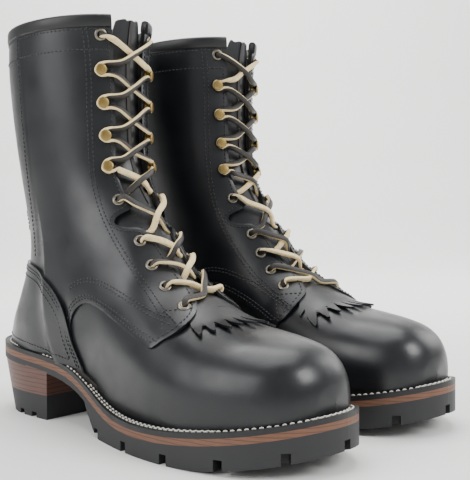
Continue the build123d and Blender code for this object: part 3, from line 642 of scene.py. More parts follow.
def leather(name, tint, roughness, grain, depth, drift=0.25, coat=0.0):
    """Dyed leather: pores of one grain size in metres, soft creases and an uneven polish."""
    material, tree, shader, where = start_material(name, Roughness=roughness, IOR=1.5, Coat_Weight=coat,
                                                   Coat_Roughness=0.25)
    tree.links.new(mottle(tree, where, tint, drift, 0.03), shader.inputs["Base Color"])
    pores = add(tree, "ShaderNodeTexVoronoi", {"Vector": where, "Scale": 1 / grain, "Randomness": 1.0},
                feature="SMOOTH_F1")
    folds = add(tree, "ShaderNodeTexNoise", {"Vector": where, "Scale": 1 / 0.014, "Detail": 5.0,
                                             "Roughness": 0.55})
    height = add(tree, "ShaderNodeMath", {0: folds.outputs["Fac"], 1: 1.6}, operation="MULTIPLY")
    relief = add(tree, "ShaderNodeMath", {0: pores.outputs["Distance"], 1: height.outputs[0]},
                 operation="ADD")
    bump = add(tree, "ShaderNodeBump", {"Height": relief.outputs[0], "Strength": depth,
                                        "Distance": grain * 0.2})
    tree.links.new(bump.outputs[0], shader.inputs["Normal"])
    rub = add(tree, "ShaderNodeTexNoise", {"Vector": where, "Scale": 1 / 0.02, "Detail": 6.0})
    polish = add(tree, "ShaderNodeMapRange", {"Value": rub.outputs["Fac"], "From Min": 0.3, "From Max": 0.7,
                                              "To Min": roughness - 0.06, "To Max": roughness + 0.08})
    tree.links.new(polish.outputs[0], shader.inputs["Roughness"])
    return material


def rough_leather(name, tint, feature):
    """Cut leather edges and undyed fibres, dull and pitted."""
    material, tree, shader, where = start_material(name, Roughness=0.82, IOR=1.5)
    tree.links.new(mottle(tree, where, tint, 0.3, feature * 6), shader.inputs["Base Color"])
    fibres = add(tree, "ShaderNodeTexNoise", {"Vector": where, "Scale": 1 / feature, "Detail": 6.0})
    bump = add(tree, "ShaderNodeBump", {"Height": fibres.outputs["Fac"], "Strength": 0.5,
                                        "Distance": feature * 0.4})
    tree.links.new(bump.outputs[0], shader.inputs["Normal"])
    return material


def layered_leather(name, tint, layer, roughness):
    """Burnished edges of stacked leather lifts: thin dark joints, streaks and worn patches."""
    material, tree, shader, where = start_material(name, Roughness=roughness, IOR=1.5)
    flat = add(tree, "ShaderNodeMapping", {"Vector": where, "Scale": (1.0, 1.0, 14.0)})
    streaks = add(tree, "ShaderNodeTexNoise", {"Vector": flat.outputs[0], "Scale": 1 / 0.012, "Detail": 8.0,
                                               "Roughness": 0.7})
    joints = add(tree, "ShaderNodeTexWave", {"Vector": where, "Scale": BAND / layer, "Distortion": 0.6,
                                             "Detail": 2.0, "Detail Scale": 0.4},
                 wave_type="BANDS", bands_direction="Z", wave_profile="SIN")
    seams = add(tree, "ShaderNodeMapRange", {"Value": joints.outputs["Fac"], "From Min": 0.0,
                                             "From Max": 0.16, "To Min": 0.45, "To Max": 1.0})
    dark = tuple(c * 0.45 for c in tint)
    light = tuple(min(c * 1.55, 1.0) for c in tint)
    grain = add(tree, "ShaderNodeMix", {"Factor": streaks.outputs["Fac"], "A": (*dark, 1), "B": (*light, 1)},
                data_type="RGBA")
    mixed = add(tree, "ShaderNodeMix", {"Factor": 1.0, "A": grain.outputs["Result"],
                                        "B": seams.outputs[0]}, data_type="RGBA", blend_type="MULTIPLY")
    tree.links.new(mixed.outputs["Result"], shader.inputs["Base Color"])
    relief = add(tree, "ShaderNodeMath", {0: streaks.outputs["Fac"], 1: seams.outputs[0]}, operation="ADD")
    bump = add(tree, "ShaderNodeBump", {"Height": relief.outputs[0], "Strength": 0.45, "Distance": 0.0004})
    tree.links.new(bump.outputs[0], shader.inputs["Normal"])
    return material


def metal(name, tint, roughness):
    """Plated metal with tarnish in small patches."""
    material, tree, shader, where = start_material(name, Metallic=1.0, Roughness=roughness)
    tree.links.new(mottle(tree, where, tint, 0.22, 0.0012), shader.inputs["Base Color"])
    spots = add(tree, "ShaderNodeTexNoise", {"Vector": where, "Scale": 1 / 0.0008, "Detail": 3.0})
    worn = add(tree, "ShaderNodeMapRange", {"Value": spots.outputs["Fac"], "To Min": roughness - 0.1,
                                            "To Max": roughness + 0.15})
    tree.links.new(worn.outputs[0], shader.inputs["Roughness"])
    bump = add(tree, "ShaderNodeBump", {"Height": spots.outputs["Fac"], "Strength": 0.15, "Distance": 0.0001})
    tree.links.new(bump.outputs[0], shader.inputs["Normal"])
    return material


def rubber(name, tint):
    """Moulded rubber: dull, finely pitted, dusted a little."""
    material, tree, shader, where = start_material(name, Roughness=0.62, IOR=1.52)
    tree.links.new(mottle(tree, where, tint, 0.22, 0.012), shader.inputs["Base Color"])
    pits = add(tree, "ShaderNodeTexNoise", {"Vector": where, "Scale": 1 / 0.0009, "Detail": 5.0})
    bump = add(tree, "ShaderNodeBump", {"Height": pits.outputs["Fac"], "Strength": 0.25, "Distance": 0.0002})
    tree.links.new(bump.outputs[0], shader.inputs["Normal"])
    return material


def thread(name, tint, twist):
    """Waxed twisted thread, with its strands as slanting bands."""
    material, tree, shader, where = start_material(name, Roughness=0.5, IOR=1.5, Sheen_Weight=0.15)
    tree.links.new(mottle(tree, where, tint, 0.15, twist * 3), shader.inputs["Base Color"])
    strands = add(tree, "ShaderNodeTexWave", {"Vector": where, "Scale": BAND / twist, "Distortion": 1.0},
                  bands_direction="DIAGONAL")
    bump = add(tree, "ShaderNodeBump", {"Height": strands.outputs["Fac"], "Strength": 0.5,
                                        "Distance": twist * 0.2})
    tree.links.new(bump.outputs[0], shader.inputs["Normal"])
    return material


@lru_cache(maxsize=None)
def finishes():
    """Every finish of the boots, by the name of what it covers."""
    tint = {key: tuple(getattr(bpy.context.scene.boot_colours, key))
            for key in BootColours.__annotations__}
    return {
        # full-grain cowhide, dyed black and oiled to a half gloss
        "upper": leather("Black oiled leather", tint["upper"], 0.34, 0.0011, 0.14),
        # the same hide skived thin and folded, so a little duller
        "binding": leather("Black binding leather", tint["edge"], 0.42, 0.0009, 0.2),
        # softer tongue and kiltie leather
        "tongue": leather("Black tongue leather", tint["upper"], 0.4, 0.0013, 0.22),
        # smooth lining leather
        "lining": leather("Lining leather", tint["lining"], 0.6, 0.0012, 0.3),
        # cut edges, dyed
        "edge": rough_leather("Dyed leather edge", tint["edge"], 0.0007),
        # welt strip, dyed and waxed
        "welt": leather("Black welt leather", tint["edge"], 0.5, 0.0008, 0.3),
        "thread": thread("Black waxed thread", tint["thread"], 0.0004),
        "welt_thread": thread("Natural linen thread", tint["welt_thread"], 0.0005),
        "lace_face": leather("Lace grain face", tint["lace_face"], 0.5, 0.0006, 0.4),
        "lace_side": rough_leather("Raw lace core", tint["lace_side"], 0.0005),
        "brass": metal("Aged brass", tint["brass"], 0.38),
        "nickel": metal("Antique nickel", tint["nickel"], 0.34),
        # painted shade: a dark finish meant for the shaded inside of the eyelet barrels; no piece is given it
        "barrel": rubber("Dark barrel", tint["edge"]),
        "midsole": layered_leather("Leather midsole edge", tint["midsole"], 0.0026, 0.55),
        "stack": layered_leather("Stacked heel leather", tint["stack"], 0.0034, 0.45),
        "rubber": rubber("Black lug rubber", tint["rubber"]),
    }


# ---------------------------------------------------------------- stitching

def stitch(lines, height, pitch, radius, share=0.74):
    """Raised stitches along lines of points and normals: each dips into the leather at its ends."""
    # place along the stitch, thickness and rise of each ring of points
    profile = [(-0.5, 0.45, -0.9), (-0.36, 0.9, 0.1), (0.0, 1.0, 0.5), (0.36, 0.9, 0.1), (0.5, 0.45, -0.9)]
    points, faces = [], []
    for line in lines:
        even = evenly(line, pitch)
        if len(even) < 2:
            continue
        start, end = even[:-1], even[1:]
        along = end[:, :3] - start[:, :3]
        length = np.linalg.norm(along, axis=1, keepdims=True)
        along = along / np.maximum(length, 1e-6)
        out = start[:, 3:] + end[:, 3:]
        out -= (out * along).sum(1, keepdims=True) * along
        out /= np.linalg.norm(out, axis=1, keepdims=True)
        middle = (start[:, :3] + end[:, :3]) / 2
        lift = height(middle) if callable(height) else np.full(len(middle), height)
        across = np.cross(along, out)
        for k in range(len(along)):
            base = len(points)
            for at, fat, rise in profile:
                centre = middle[k] + along[k] * at * length[k] * share + out[k] * (lift[k] + rise * radius)
                for turn in range(6):
                    angle = turn * math.pi / 3
                    points.append(centre + fat * radius * (math.cos(angle) * across[k]
                                                           + math.sin(angle) * out[k]))
            faces += [tuple(base + c for c in f) for f in tube_faces(5, 6)]
    return np.array(points), faces


def edge_distance(field, edge_lines, span=30.0):
    """True distance from a panel's edge over the skin, positive inside the panel."""
    points = skin()[0]
    near = np.abs(field) < span
    distance = np.where(field > 0, 1e3, -1e3)
    distance[near] = np.sign(field[near]) * line_gap(points[near], [line[:, :3] for line in edge_lines])
    return distance


# ---------------------------------------------------------------- the pieces

# all in mm: eyelet hole radius, height of the heel cover on the quarters, and the backstay's half width,
# lowest point and thickness; everything behind BACK_HALF is the back of the boot
EYELET_HOLE, HEEL_COVER_LIFT = 3.3, 2.1
BACKSTAY_HALF, BACKSTAY_FOOT, BACKSTAY_THICK = 9.2, 112, 1.5
BACK_HALF = 100
# the lining starts inside the upper leather and is this thick
LINING_DEPTH, LINING_THICK = 2.35, 1.6
# section of the rolled rim binding: out from the leather, down from the rim
RIM_SECTION = [(0.1, 8.3), (0.8, 7.9), (1.15, 6.8), (1.2, 4.0), (1.25, 1.6), (0.9, 0.2), (0.1, -0.7),
               (-1.4, -1.1), (-3.0, -0.9), (-4.2, -0.1), (-4.7, 1.4), (-4.8, 4.0), (-4.8, 6.8),
               (-4.4, 7.9), (-3.6, 8.2), (-2.0, 8.2)]
# pull strap from the side: y, z; and its section: across, out
PULL_ROUTE = [(147.4, 286), (150.0, 290), (153.4, 291), (157.9, 288), (161.9, 281), (163.0, 273),
              (160.9, 265), (156.4, 259), (152.6, 254), (151.4, 248)]
PULL_SECTION = [(-9.3, -1.2), (-9.3, 1.2), (-8.6, 1.6), (0, 1.75), (8.6, 1.6), (9.3, 1.2), (9.3, -1.2),
                (8.6, -1.5), (0, -1.6), (-8.6, -1.5)]


class BOOTS_OT_uppers(bpy.types.Operator):
    """Vamps, quarters, heel covers and backstays"""
    bl_idname = "boots.uppers"
    bl_label = "Uppers"

    def execute(self, context):
        finish = finishes()
        thick = context.scene.boot_sizes.upper * 1000
        points = skin()[0]
        where, out, faces = cut(vamp_field(points))
        shape = shell(where, out, faces, 0.0, thick)
        make_pair("vamp_panel", *shape, "upper_leather", [finish["upper"]], ("vamp", "toe_stiffener"))
        for side, name in ((-1, "outer"), (1, "inner")):
            field = quarter_field(points, side)
            for row in range(len(LACE_X)):
                eyelet = lacing(side, row)[0]
                hole = np.linalg.norm(points - eyelet, axis=1) - (0.0 if row in HOOKS else EYELET_HOLE)
                field = np.minimum(field, hole)
            where, out, faces = cut(field)
            rolled = np.minimum(quarter_field(where, side), 6.0)
            height = quarter_height(where, side) - 0.35 * np.exp(-np.clip(rolled, 0, None) / 0.8)
            shape = shell(where, out, faces, height, thick)
            make_pair(f"quarter_{name}_panel", *shape, "upper_leather", [finish["upper"]],
                      (f"quarter_{name}",))
        field = counter_field(points)
        where, out, faces = cut(field)
        # the cover's front edge swells where it lies over the quarter's lower edge
        swell = np.exp(-((where[:, 1] - 50) ** 2 + (where[:, 2] - 82) ** 2) / 160)
        shape = shell(where, out, faces, HEEL_COVER_LIFT + 1.2 * swell, thick)
        make_pair("heel_cover", *shape, "upper_leather", [finish["upper"]],
                  ("counter_cover", "counter_stiffener"))
        field = np.minimum(BACKSTAY_HALF - np.abs(points[:, 0]), np.minimum(
            points[:, 2] - BACKSTAY_FOOT, rim_height(points[:, 1]) - 2 - points[:, 2]))
        field = np.minimum(field, points[:, 1] - BACK_HALF)
        where, out, faces = cut(field)
        shape = shell(where, out, faces, BACKSTAY_THICK, BACKSTAY_THICK)
        make_pair("backstay_strip", *shape, "upper_leather", [finish["upper"]], ("backstay",))
        return {"FINISHED"}


class BOOTS_OT_linings(bpy.types.Operator):
    """Shaft linings"""
    bl_idname = "boots.linings"
    bl_label = "Linings"

    def execute(self, context):
        points = skin()[0]
        x, y, z = np.abs(points[:, 0]), points[:, 1], points[:, 2]
        field = np.minimum(np.minimum(z - 66, rim_height(y) - 2 - z), -within(softened(NOTCH, 1), x, z) - 0.8)
        for side in (-1, 1):
            own = np.where(z > 85, x - curve(GAP[side])(z) - 0.8, 20)
            field = np.where(points[:, 0] * side > 0, np.minimum(field, own), field)
        where, out, faces = cut(field)
        shape = shell(where, out, faces, -LINING_DEPTH, LINING_THICK)
        make_pair("shaft_lining", *shape, "lining_leather", [finishes()["lining"]], ("lining",))
        return {"FINISHED"}


class BOOTS_OT_bindings(bpy.types.Operator):
    """Rolled bindings round the rims, and the pull loops"""
    bl_idname = "boots.bindings"
    bl_label = "Bindings and pull loops"

    def execute(self, context):
        finish = finishes()
        turns = np.radians(np.linspace(16.8, 343.2, 160))
        way = np.stack([np.sin(turns), -np.cos(turns), np.zeros(len(turns))], -1)[:, None, :]
        way = np.broadcast_to(way, (len(turns), len(RIM_SECTION), 3))
        offset, drop = np.array(RIM_SECTION).T
        height = np.full(way.shape[:2], 297.5)
        for _ in range(3):
            start = np.stack([height * 0, height * 0 + 88.0, height], -1)
            point = reach_form(start, way)
            height = rim_height(point[..., 1]) - drop
        point[..., 2] = height
        rolled = point + facing_out(point) * offset[:, None]
        shape = (rolled.reshape(-1, 3), tube_faces(len(turns), len(RIM_SECTION)))
        make_pair("rim_binding", *shape, "binding_leather", [finish["binding"]], ("top_binding",),
                  crease=60)
        line = softened(PULL_ROUTE)
        ahead = np.gradient(line, axis=0)
        ahead /= np.linalg.norm(ahead, axis=1, keepdims=True)
        side_on = np.stack([-ahead[:, 1], ahead[:, 0]], -1)
        rows = []
        for k, (y, z) in enumerate(line):
            for x, off in PULL_SECTION:
                rows.append((x, y + side_on[k, 0] * off, z + side_on[k, 1] * off))
        shape = (np.array(rows), tube_faces(len(line), len(PULL_SECTION)))
        make_pair("pull_strap", *shape, "binding_leather", [finish["binding"]], ("pull_loop",), crease=60)
        return {"FINISHED"}


class BOOTS_OT_tongues(bpy.types.Operator):
    """Tongues, kilties and their fringed ends"""
    bl_idname = "boots.tongues"
    bl_label = "Tongues and kilties"

    def execute(self, context):
        finish = finishes()
        points = skin()[0]
        where, out, faces = cut(tongue_field(points))
        sag = -4.6 + 1.4 * np.exp(-(where[:, 0] / 9) ** 2) + 2.0 * (1 - ease(where[:, 1], -60, -42))
        shape = shell(where, out, faces, sag, 2.4)
        make_pair("tongue_flap", *shape, "tongue_leather", [finish["tongue"]], ("tongue",))
        where, out, faces = cut(kiltie_field(points))
        shape = shell(where, out, faces, kiltie_height(where), 1.6)
        make_pair("kiltie_strap", *shape, "tongue_leather", [finish["tongue"]], ("kiltie",))
        where, out, faces = cut(fringe_field(points))
        radius = np.hypot(where[:, 0] - FRINGE_CENTRE[0], where[:, 1] - FRINGE_CENTRE[1])
        turn = np.degrees(np.arctan2(where[:, 0], FRINGE_CENTRE[1] - where[:, 1])) / FRINGE_STEP
        curl = ease(radius, 50, 72) * (1.9 + 0.7 * np.sin(np.round(turn) * 2.9))
        shape = shell(where, out, faces, 1.7 + curl, 1.6)
        make_pair("kiltie_teeth", *shape, "tongue_leather", [finish["tongue"]], ("kiltie_fringe",),
                  body="fringe")
        return {"FINISHED"}


# rows of stitches, in mm: in from the edge, in from the lower edge, either side of the facing seam, down
# from the rim, in from the heel cover's edge, and out from the middle of the backstay
EDGE_ROW, BAND_ROWS, SEAM_ROWS, RIM_ROWS = 3.2, (5.6, 15.0, 17.4), (-1.2, 1.2), (9.6, 24.0)
HEEL_ROWS, BACKSTAY_ROW = (3.0, 5.4, 10.0), 7.0
# straight rows that hold the facing's lower corner
TACKS = {-1: (((-33.9, -39.3, 91.9), (-42.6, -47.6, 79.4)), ((-33.9, -39.3, 91.9), (-36.4, -54.0, 83.6))),
         1: (((30.9, -33, 91), (37.0, -40.5, 77)), ((30.9, -33, 91), (32.6, -46.5, 83)))}
# rows round the welt: in from the sole's edge, and where along its outline the row starts and ends
WELT_ROWS = ((2.6, 0.0, 1.0), (5.0, 0.2, 0.8))


class BOOTS_OT_stitching(bpy.types.Operator):
    """Rows of stitches on the uppers and round the welts"""
    bl_idname = "boots.stitching"
    bl_label = "Stitching"

    def execute(self, context):
        finish = finishes()
        sizes = context.scene.boot_sizes
        pitch, radius = sizes.pitch * 1000, sizes.thread * 1000
        points = skin()[0]
        for side, name in ((-1, "outer"), (1, "inner")):
            field = quarter_field(points, side)
            inset = edge_distance(field, level_lines(field, 0.0))
            lower = above_line(LOWER_EDGE[side], points[:, 1], points[:, 2], 400)
            seam_line = softened(FACING_SEAM[side])
            seam = within(np.concatenate([seam_line, [(-200, seam_line[-1][1]), (-200, 330)]]),
                          points[:, 1], points[:, 2])
            seam = np.where(points[:, 0] * side > 0, seam, -50)
            rim = rim_height(points[:, 1]) - points[:, 2]

            def edge_row(p):
                own = quarter_field(p, side)
                return (p[:, 2] > welt_top(p[:, 1]) + 4) & (rim_height(p[:, 1]) - p[:, 2] > 9) & (
                    counter_field(p) < 0) & (np.abs(p[:, 0]) > 4) & (own > 0)

            def band_row(p):
                return edge_row(p) & (p[:, 1] < 52) & (p[:, 1] > -52) & (
                    above_line(LOWER_EDGE[side], p[:, 1], p[:, 2], 400) < 19)

            def seam_row(p):
                return (quarter_field(p, side) > 1.5) & (p[:, 2] > 90) & (p[:, 0] * side > 0)

            def rim_row(p):
                return (quarter_field(p, side) > 2.5) & (np.abs(p[:, 0]) > 10)

            lines = level_lines(inset, EDGE_ROW, edge_row)
            band = np.where(points[:, 0] * side > 0, lower, -50)
            for level in BAND_ROWS:
                lines += level_lines(band, level, band_row)
            for level in SEAM_ROWS:
                lines += level_lines(seam, level, seam_row)
            own = np.where(points[:, 0] * side > 0, rim, -50)
            for level in RIM_ROWS:
                lines += level_lines(own, level, rim_row)
            for a, b in TACKS[side]:
                straight = np.linspace(a, b, 8)
                lines.append(np.concatenate([straight, facing_out(straight)], 1))
            shape = stitch(lines, lambda p, side=side: quarter_height(p, side), pitch, radius)
            make_pair(f"quarter_{name}_stitches", *shape, "upper_leather", [finish["thread"]], crease=80)
        field = counter_field(points)
        inset = edge_distance(field, level_lines(field, 0.0))
        lines = []
        for level in HEEL_ROWS:
            lines += level_lines(inset, level, lambda p: p[:, 2] > welt_top(p[:, 1]) + 4)
        shape = stitch(lines, HEEL_COVER_LIFT, pitch, radius)
        make_pair("heel_cover_stitches", *shape, "upper_leather", [finish["thread"]], crease=80)
        lines = []
        for side in (-1, 1):
            strip = np.where(points[:, 1] > BACK_HALF, points[:, 0] * side, -50)
            lines += level_lines(strip, BACKSTAY_ROW, lambda p: (p[:, 2] > 124) & (p[:, 2] < 292))
        shape = stitch(lines, BACKSTAY_THICK, pitch, radius)
        make_pair("backstay_stitches", *shape, "upper_leather", [finish["thread"]], crease=80)
        return {"FINISHED"}


def plan_line(inset, start, end, step=1.0):
    """Points round the sole's outline on one plan, drawn in by an inset, from start to end of its length."""
    line = softened([(-outer, y) for y, outer, inner in PLAN[::-1]]
                    + [(inner, y) for y, outer, inner in PLAN][1:], 3)
    run = np.concatenate([[0], np.cumsum(np.linalg.norm(np.diff(line, axis=0), axis=1))])
    at = np.arange(run[-1] * start, run[-1] * end, step)
    line = np.stack([np.interp(at, run, line[:, k]) for k in range(2)], -1)
    ahead = np.gradient(line, axis=0)
    ahead /= np.linalg.norm(ahead, axis=1, keepdims=True)
    inward = np.stack([-ahead[:, 1], ahead[:, 0]], -1)
    if (inward * line).sum() > 0:
        inward = -inward
    return line + inward * inset


class BOOTS_OT_soles(bpy.types.Operator):
    """Welts, midsoles, lugged outsoles, stacked heels and heel lifts"""
    bl_idname = "boots.soles"
    bl_label = "Soles"

    def execute(self, context):
        finish = finishes()
        sizes = context.scene.boot_sizes
        worn = {"welt": "welt", "midsole": "midsole", "outsole": "rubber", "heel_stack": "stack",
                "heel_lift": "rubber", "heel_nails": "brass", "insole": "lining", "filler": "midsole",
                "shank": "nickel"}
        for side in ("right", "left"):
            for node, key in worn.items():
                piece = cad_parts[f"{side}_{node}"]
                piece.data.materials.clear()
                piece.data.materials.append(finish[key])
                if node in ("welt", "midsole", "outsole", "heel_stack", "heel_lift"):
                    rounding = piece.modifiers.new("Worn edges", "BEVEL")
                    rounding.width = 0.0005
                    rounding.segments = 2
                    rounding.limit_method = "ANGLE"
                    rounding.angle_limit = math.radians(50)
        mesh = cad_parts["right_welt"].data
        ground = BVHTree.FromPolygons([v.co for v in mesh.vertices],
                                      [tuple(p.vertices) for p in mesh.polygons])
        lines = []
        for inset, start, end in WELT_ROWS:
            line = []
            for x, y in plan_line(inset, start, end):
                spot = Vector(place([(x, y, 90)], "right")[0])
                hit, normal = ground.ray_cast(spot, Vector((0, 0, -1)))[:2]
                if hit is not None and normal.z > 0.6:
                    line.append((x, y, hit.z * 1000, *normal))
            if len(line) > 4:
                lines.append(np.array(line))
        shape = stitch(lines, 0.1, sizes.welt_pitch * 1000, sizes.welt_thread * 1000, 0.7)
        make_pair("welt_stitches", *shape, "welt_leather", [finish["welt_thread"]], crease=80)
        return {"FINISHED"}


def turned(profile, centre, out, count=24):
    """A round piece: a profile of radius and height turned about a line out of the leather."""
    aside = np.cross(out, (0.0, 0.0, 1.0))
    aside /= np.linalg.norm(aside)
    up = np.cross(aside, out)
    points = []
    for radius, height in profile:
        for k in range(count):
            angle = 2 * math.pi * k / count
            points.append(centre + out * height + radius * (math.cos(angle) * aside + math.sin(angle) * up))
    faces = tube_faces(len(profile), count, closed_ends=False)
    return points, faces


def merged(pieces):
    """Several sets of points and faces as one."""
    points, faces = [], []
    for its_points, its_faces in pieces:
        base = len(points)
        points += list(its_points)
        faces += [tuple(k + base for k in f) for f in its_faces]
    return np.array(points), faces


class BOOTS_OT_hardware(bpy.types.Operator):
    """Eyelets and lacing hooks"""
    bl_idname = "boots.hardware"
    bl_label = "Eyelets and hooks"

    def execute(self, context):
        finish = finishes()
        big = context.scene.boot_sizes.eyelet * 1000
        head = context.scene.boot_sizes.hook * 1000
        # radius and height of each turned profile
        ring = [(2.35, -2.6), (2.3, 0.1), (2.45, 0.7), (2.9, 1.05), (3.5, 1.05), (big - 0.35, 0.75),
                (big, 0.25), (big, -0.1)]
        hook = [(3.9, -0.2), (3.9, 0.45), (3.5, 0.75), (2.1, 0.9), (1.8, 1.6), (1.8, 3.6), (head - 0.7, 3.9),
                (head - 0.1, 4.15), (head, 4.5), (head - 0.2, 4.9), (head - 0.75, 5.15), (head - 1.5, 5.25),
                (1.4, 5.4), (0.05, 5.45)]
        eyelets, hooks = [], []
        for side in (-1, 1):
            for row in range(len(LACE_X)):
                centre, out = lacing(side, row)
                if row in HOOKS:
                    hooks.append(turned(hook, centre, out))
                else:
                    eyelets.append(turned(ring, centre, out))
        make_pair("eyelet_rings", *merged(eyelets), "eyelet_metal", [finish["nickel"]], ("eyelets",),
                  crease=60)
        make_pair("hook_studs", *merged(hooks), "hook_brass", [finish["brass"]], ("hooks",), crease=60)
        return {"FINISHED"}


def gap_at(side, z):
    """Distance of a facing's edge from the centre line at a height."""
    return float(curve(GAP[side])(z))


def over(x, z, lift):
    """A point of the lace's route over the front, at a height above the form."""
    point = on_form(x, z)
    out = facing_out(point[None])[0]
    return point + out * lift, out


# how far the lace is turned over on its way to each lacing point, in degrees
ARRIVE = {-1: {1: 95, 2: 50, 3: 165, 4: 8, 5: 160, 9: 150}, 1: {1: 8, 2: 170, 3: 20, 4: 172, 5: 15}}


def lace_route(first):
    """One half of the lace from the bar between the lowest eyelets to a top eyelet.

    Gives rows of point, surface normal and twist in degrees."""
    side = first
    rows = []

    def step(pair, twist):
        rows.append(np.concatenate([pair[0], pair[1], [twist]]))

    def at_hole(side, row, along, lift, twist):
        centre, out = lacing(side, row)
        toward = np.array([-float(side), 0, 0])
        toward -= (toward @ out) * out
        toward /= np.linalg.norm(toward)
        up = np.cross(toward, out) * (1 if side > 0 else -1)
        if up[2] < 0:
            up = -up
        step((centre + out * lift + toward * along[0] + up * along[1], out), twist)

    z0 = (LACE_Z[-1][0] + LACE_Z[1][0]) / 2
    step(over(0.0, z0, -0.2), 0)
    step(over(side * 9.0, z0 + side * 1.2, -0.6), 0)
    at_hole(side, 0, (5.0, -0.6), -4.4, 0)
    at_hole(side, 0, (0.6, 0), -2.6, 0)
    at_hole(side, 0, (0.2, 0.2), 0.6, 0)
    at_hole(side, 0, (2.6, 1.6), 2.6, 5 if side < 0 else 60)
    for row in range(0, TOP_ROW):
        other = -side
        za, zb = LACE_Z[side][row], LACE_Z[other][row + 1]
        ga, gb = gap_at(side, za), gap_at(other, zb)
        turn = ARRIVE[other].get(row + 1, 40)
        middle_lift = 4.0 if side < 0 else 1.4
        from_hook, to_hook = row in HOOKS, row + 1 in HOOKS
        if row == 0:
            step(over(side * ga * 0.6, za + (zb - za) * 0.34, 3.6), turn)
            step(over(0.0, za + (zb - za) * 0.56, middle_lift + 0.8), turn)
        elif from_hook:
            step(over(side * ga * 0.75, za + (zb - za) * 0.22, 4.4), turn)
            step(over(0.0, za + (zb - za) * 0.5, middle_lift + 0.4), turn)
        else:
            at_hole(side, row, (0, 0), -2.4, 0)
            at_hole(side, row, (1.5, 0.6), -4.6, 10)
            step(over(side * (ga + 4), za + (zb - za) * 0.2, -4.2), 20)
            step(over(side * (ga - 2.5), za + (zb - za) * 0.3, -2.8), turn)
            step(over(side, za + (zb - za) * 0.55, middle_lift - 0.4), turn)
        step(over(other * (gb - 1.5), za + (zb - za) * 0.84, 3.4), turn)
        if to_hook:
            at_hole(other, row + 1, (5.6, -2.6), 2.4, 60)
            at_hole(other, row + 1, (0.4, -3.7), 1.9, 88)
            at_hole(other, row + 1, (-3.3, -0.6), 1.9, 92)
            at_hole(other, row + 1, (-1.6, 3.2), 1.9, 92)
            at_hole(other, row + 1, (2.6, 4.2), 2.6, 60)
        else:
            at_hole(other, row + 1, (4.0, -0.8), 2.9, turn * 0.6)
            at_hole(other, row + 1, (1.4, -0.2), 2.2, turn * 0.3)
            at_hole(other, row + 1, (0.1, 0), 0.2, 0)
        side = other
    centre, out = lacing(side, TOP_ROW)
    step((centre - out * 5.8, out), 0)
    return np.array(rows)


def ribbon(rows, width, thickness, step=1.1):
    """A flat lace swept along its route, turned by its twist; gives its shape and each face's kind."""
    spans = np.linalg.norm(np.diff(rows[:, :3], axis=0), axis=1)
    run = np.concatenate([[0], np.cumsum(spans)])
    knots = np.concatenate([[0], np.cumsum(np.maximum(np.sqrt(spans), 0.4))])
    count = int(run[-1] / step)
    fine = np.interp(np.linspace(0, run[-1], count), run, knots)
    smooth = np.stack([curve(list(zip(knots, rows[:, k])))(fine) for k in range(7)], -1)
    centre, out, twist = smooth[:, :3], smooth[:, 3:6], np.radians(smooth[:, 6])
    ahead = np.gradient(centre, axis=0)
    ahead /= np.maximum(np.linalg.norm(ahead, axis=1, keepdims=True), 1e-9)
    out = out - (out * ahead).sum(1, keepdims=True) * ahead
    out /= np.maximum(np.linalg.norm(out, axis=1, keepdims=True), 1e-9)
    for _ in range(6):
        out = np.concatenate([out[:1], out[:-2] + 2 * out[1:-1] + out[2:], out[-1:]])
        out -= (out * ahead).sum(1, keepdims=True) * ahead
        out /= np.maximum(np.linalg.norm(out, axis=1, keepdims=True), 1e-9)
    across = np.cross(ahead, out)
    c, s = np.cos(twist)[:, None], np.sin(twist)[:, None]
    face, wide = out * c + across * s, across * c - out * s
    w, t, r = width / 2, thickness / 2, 0.35
    section = [(-w, -t + r), (-w, t - r), (-w + r, t), (0, t + 0.08), (w - r, t), (w, t - r), (w, -t + r),
               (w - r, -t), (0, -t - 0.05), (-w + r, -t)]
    points = np.concatenate([(centre + wide * a + face * b)[:, None] for a, b in section], 1).reshape(-1, 3)
    ring = len(section)
    faces = tube_faces(count, ring)
    # 0 is the grain face and 1 the raw core, round the section, and the two cut ends are raw
    section_kinds = [1, 0, 0, 0, 0, 1, 1, 1, 1, 1]
    kinds = section_kinds * (count - 1) + [1, 1]
    return points, faces, kinds


# each length of a loose end: inward and down
TAIL = [(12, 0), (11, 11), (3, 26), (1, 40), (2, 44), (0.5, 38)]
# where each loose end leaves the top eyelet, and the way the eyelet points
TAIL_START = {-1: ((-23.0, 38.1, 286.0), (-0.56, -0.83, 0.0)), 1: ((23.0, 38.1, 286.0), (0.56, -0.83, 0.0))}


